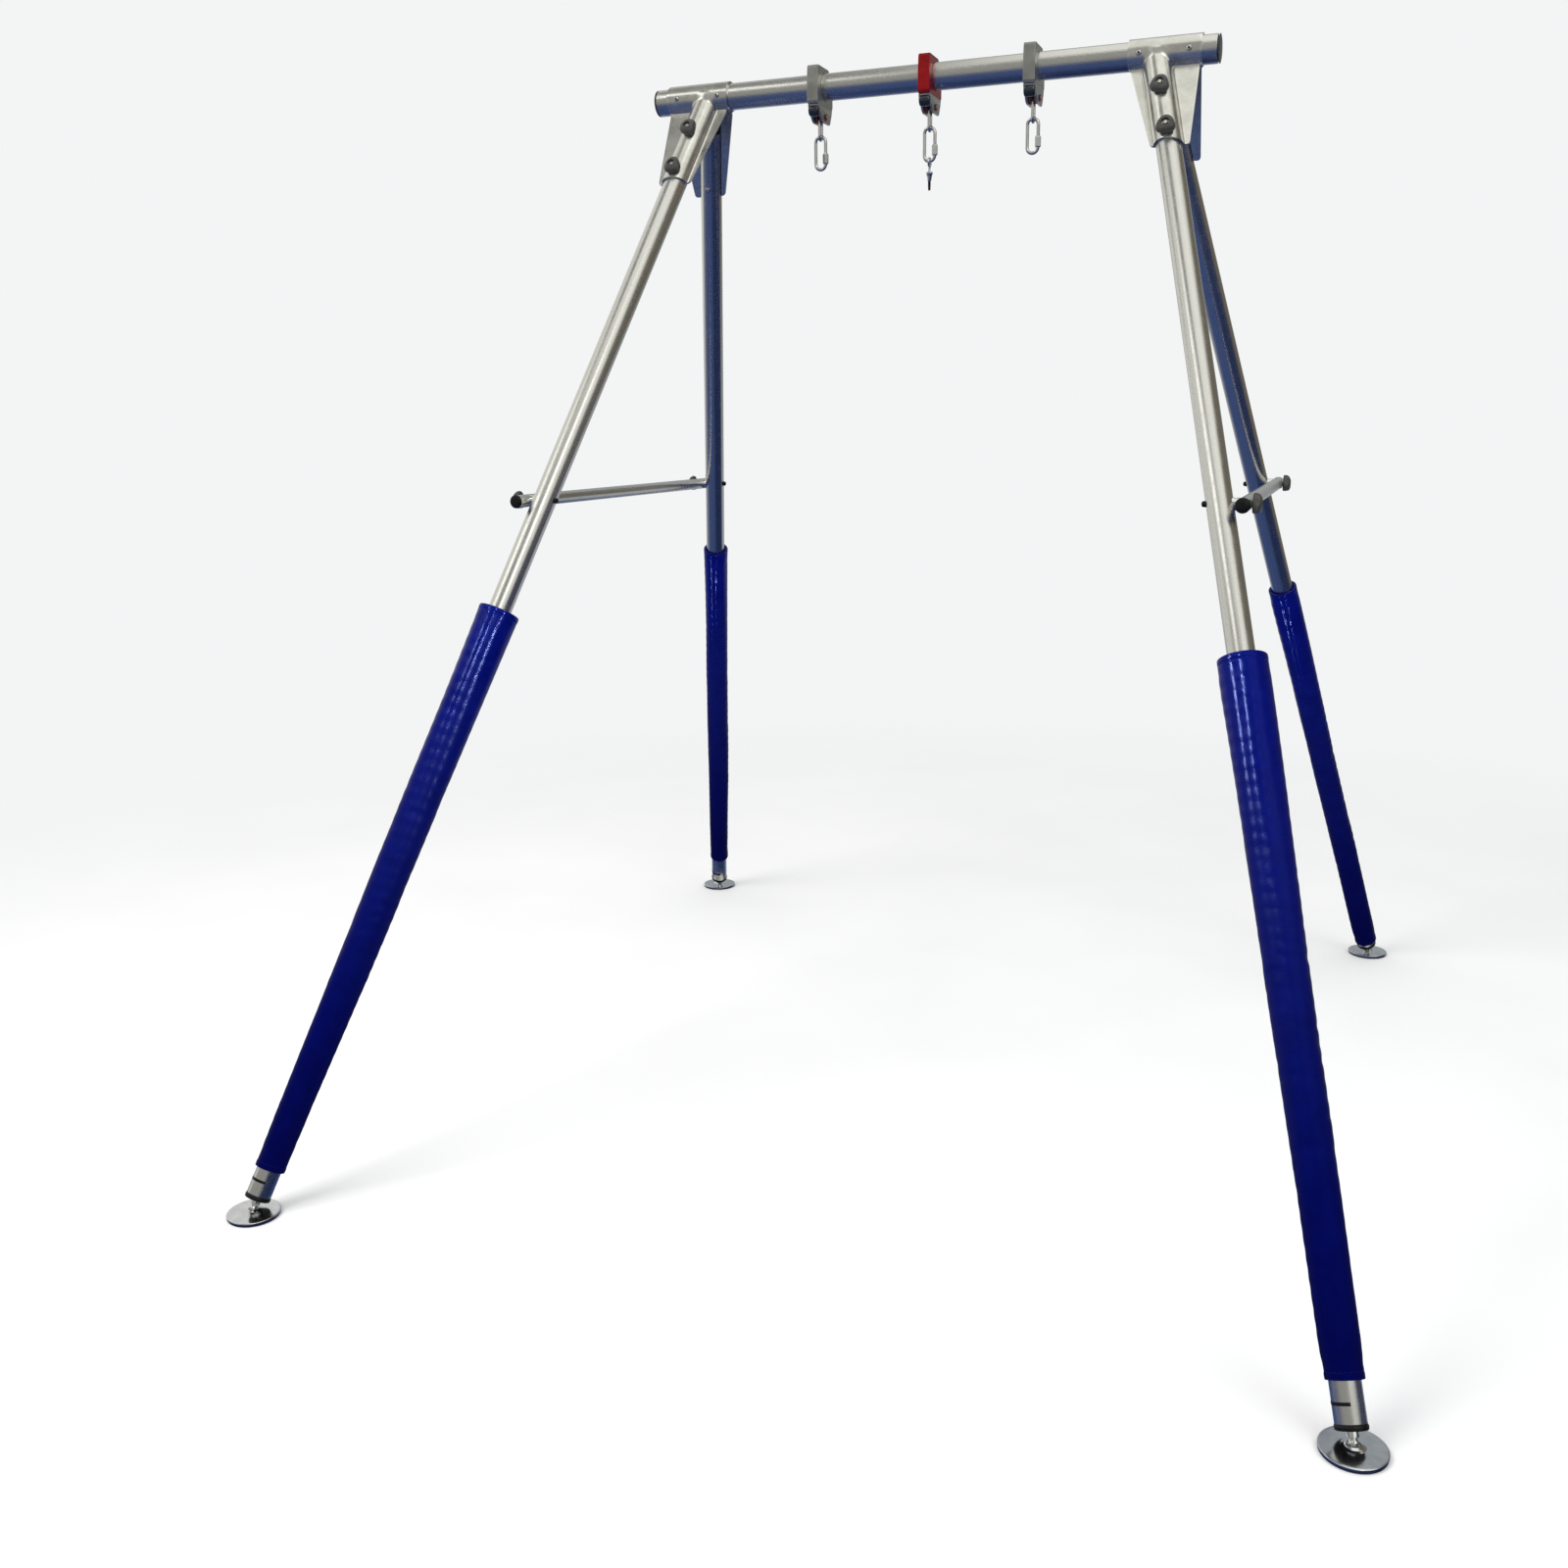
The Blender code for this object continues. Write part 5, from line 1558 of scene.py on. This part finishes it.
# ------------------------------------------------------------------ surroundings
def build_world():
    """Pale to the camera, a soft gradient for diffuse light, a room in the reflections."""
    world = bpy.data.worlds.new("studio")
    scene.world = world
    world.use_nodes = True
    sky = Nodes(world.node_tree, interpolation="SMOOTHSTEP")
    fit, times, blend = sky.fit, sky.times, sky.blend
    split = sky.add("ShaderNodeSeparateXYZ")
    sky.join(sky.add("ShaderNodeTexCoord").outputs["Generated"], split.inputs[0])
    dx, dy, dz = split.outputs
    # azimuth in degrees: 0 towards -Y, positive to +X
    azimuth = times(sky.maths("ARCTAN2", dx, times(dy, -1.0)), 180 / math.pi)

    def lobe(centre, width, soft):
        """1 within width degrees of an azimuth, falling to 0 over soft."""
        turn = sky.maths("WRAP", sky.maths("SUBTRACT", azimuth, centre), 180.0, -180.0)
        return fit(sky.maths("ABSOLUTE", turn), width, width + soft, to=(1, 0))

    def band(bottom, top, soft):
        """1 between two heights."""
        rise = fit(dz, bottom - soft, bottom + soft)
        return times(rise, fit(dz, top - soft, top + soft, to=(1, 0)))

    # upper half: light to the left, plain wall ahead, bright opening right, dim behind right
    room = blend(lobe(centre=-15, width=42, soft=25), (0.76, 0.76, 0.72), (0.33, 0.33, 0.315))
    opening = times(lobe(centre=50, width=20, soft=16), fit(dz, 0.12, 0.30))
    room = blend(opening, room, (0.95, 0.95, 0.90))
    room = blend(lobe(centre=180, width=26, soft=14), room, (0.35, 0.375, 0.385))
    room = blend(lobe(centre=120, width=34, soft=16), room, (0.150, 0.135, 0.105))
    # ceiling: bright overhead, dimmer to the left and far to the right
    ceiling = blend(fit(dx, -0.31, -0.15), (0.25, 0.25, 0.245), (0.98, 0.98, 0.93))
    ceiling = blend(fit(dx, 0.40, 0.80), ceiling, (0.38, 0.38, 0.36))
    room = blend(fit(dz, 0.72, 0.84), room, ceiling)
    # lamps
    lamp = times(lobe(centre=-50, width=17, soft=9), band(bottom=0.57, top=0.74, soft=0.04))
    room = blend(lamp, room, (1.8, 1.8, 1.72))
    lamp = times(lobe(centre=34, width=5, soft=5), band(bottom=0.42, top=0.66, soft=0.05))
    room = blend(lamp, room, (3.0, 3.0, 2.9))
    # lower half: blue, greyer near the horizon, darker to the right, pale far behind
    below = blend(fit(dz, -0.52, -0.10), (0.048, 0.080, 0.215), (0.165, 0.175, 0.205))
    left = times(lobe(centre=-112, width=24, soft=18), fit(dz, -0.55, -0.35))
    below = blend(left, below, (0.25, 0.27, 0.33))
    below = blend(lobe(centre=84, width=44, soft=24), below, (0.016, 0.028, 0.088))
    behind = times(lobe(centre=180, width=36, soft=16), fit(dz, -0.62, -0.35))
    below = blend(behind, below, (0.44, 0.46, 0.49))
    below = blend(fit(dz, -0.97, -0.86, to=(1, 0)), below, (0.026, 0.044, 0.125))
    shadow = times(lobe(centre=180, width=22, soft=12), fit(dz, -0.88, -0.80, to=(1, 0)))
    below = blend(shadow, below, (0.008, 0.012, 0.030))
    raised = times(lobe(centre=66, width=26, soft=14), fit(dz, 0.04, 0.22, to=(1, 0)))
    under = sky.maths("MAXIMUM", fit(dz, -0.26, -0.02, to=(1, 0)), raised)
    glossy = blend(under, room, below)

    rays = sky.add("ShaderNodeLightPath")
    soft = blend(fit(dz, -0.2, 0.9), (0.62, 0.63, 0.65), (0.98, 0.98, 0.97))
    colour = blend(rays.outputs["Is Glossy Ray"], soft, glossy)
    colour = blend(rays.outputs["Is Camera Ray"], colour, PALE)
    background = sky.add("ShaderNodeBackground")
    sky.join(colour, background.inputs["Color"])
    background.inputs["Strength"].default_value = 1.0
    sky.join(background.outputs[0], sky.add("ShaderNodeOutputWorld").inputs[0])


build_world()


# ------------------------------------------------------------------ lights
def area(name, place, rotation, size, power, colour=(1.0, 1.0, 1.0)):
    data = bpy.data.lights.new(name, "AREA")
    data.shape = "RECTANGLE"
    data.size, data.size_y = size
    data.energy = power
    data.color = colour
    obj = new_object(name, data)
    obj.location = place
    obj.rotation_euler = rotation
    obj.visible_camera = False
    return obj


def soft_box(name, place, target, size, power, colour):
    """Square lamp aimed at a target, not seen in reflections."""
    aim = (Vector(target) - Vector(place)).to_track_quat("-Z", "Y").to_euler()
    area(name, place, aim, (size, size), power, colour).visible_glossy = False


soft_box(
    "key", place=(-2.6, -3.4, 4.6), target=(0, 0, 1.4),
    size=2.6, power=170.0, colour=(1.0, 0.985, 0.95),
)
soft_box(
    "fill", place=(3.6, -2.2, 3.2), target=(0, 0, 1.0),
    size=2.4, power=45.0, colour=(0.96, 0.98, 1.0),
)

# Narrow lamps, each seen by one pad alone, draw streaks near the top of its cover.
# (quarter turns from the camera's side to the viewer's right, lamp width, power)
STREAKS = {
    "front_left": ((0.14, 0.045, 26.0), (-0.12, 0.090, 20.0), (-0.30, 0.100, 10.0)),
    "front_right": ((-0.30, 0.080, 24.0), (-0.06, 0.060, 26.0)),
    "rear_left": ((-0.26, 0.080, 18.0), (0.02, 0.080, 23.0)),
    "rear_right": ((-0.22, 0.080, 18.0), (0.02, 0.070, 23.0)),
}
STREAK_DOWN = 0.11  # from the pad's top
STREAK_PAD_R = 0.042
STREAK_AWAY = 2.0
STREAK_LENGTH = 0.34


def build_streaks(name, streaks):
    leg = LEGS[name]
    distance = leg.station("leg_pad_" + name)[0] + STREAK_DOWN
    group = bpy.data.collections.new("lit_" + name)
    group.objects.link(bpy.data.objects["leg_pad_%s_cover" % name])
    towards, left = leg.facing(distance)
    for number, (quarters, width, power) in enumerate(streaks):
        turn = quarters * math.pi / 2
        normal = math.cos(turn) * towards - math.sin(turn) * left
        spot = leg.at(distance) + STREAK_PAD_R * normal
        look = unit(spot - CAMERA)
        out = look - 2 * (look @ normal) * normal
        columns = np.stack(axes(out, np.cross(leg.axis, out)), axis=1)
        lamp = area(
            "streak_%s_%d" % (name, number), spot + STREAK_AWAY * out,
            Matrix(columns.tolist()).to_euler(), (width, STREAK_LENGTH), power,
        )
        lamp.visible_diffuse = False
        lamp.light_linking.receiver_collection = group


for name, streaks in STREAKS.items():
    build_streaks(name, streaks)

low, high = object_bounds()
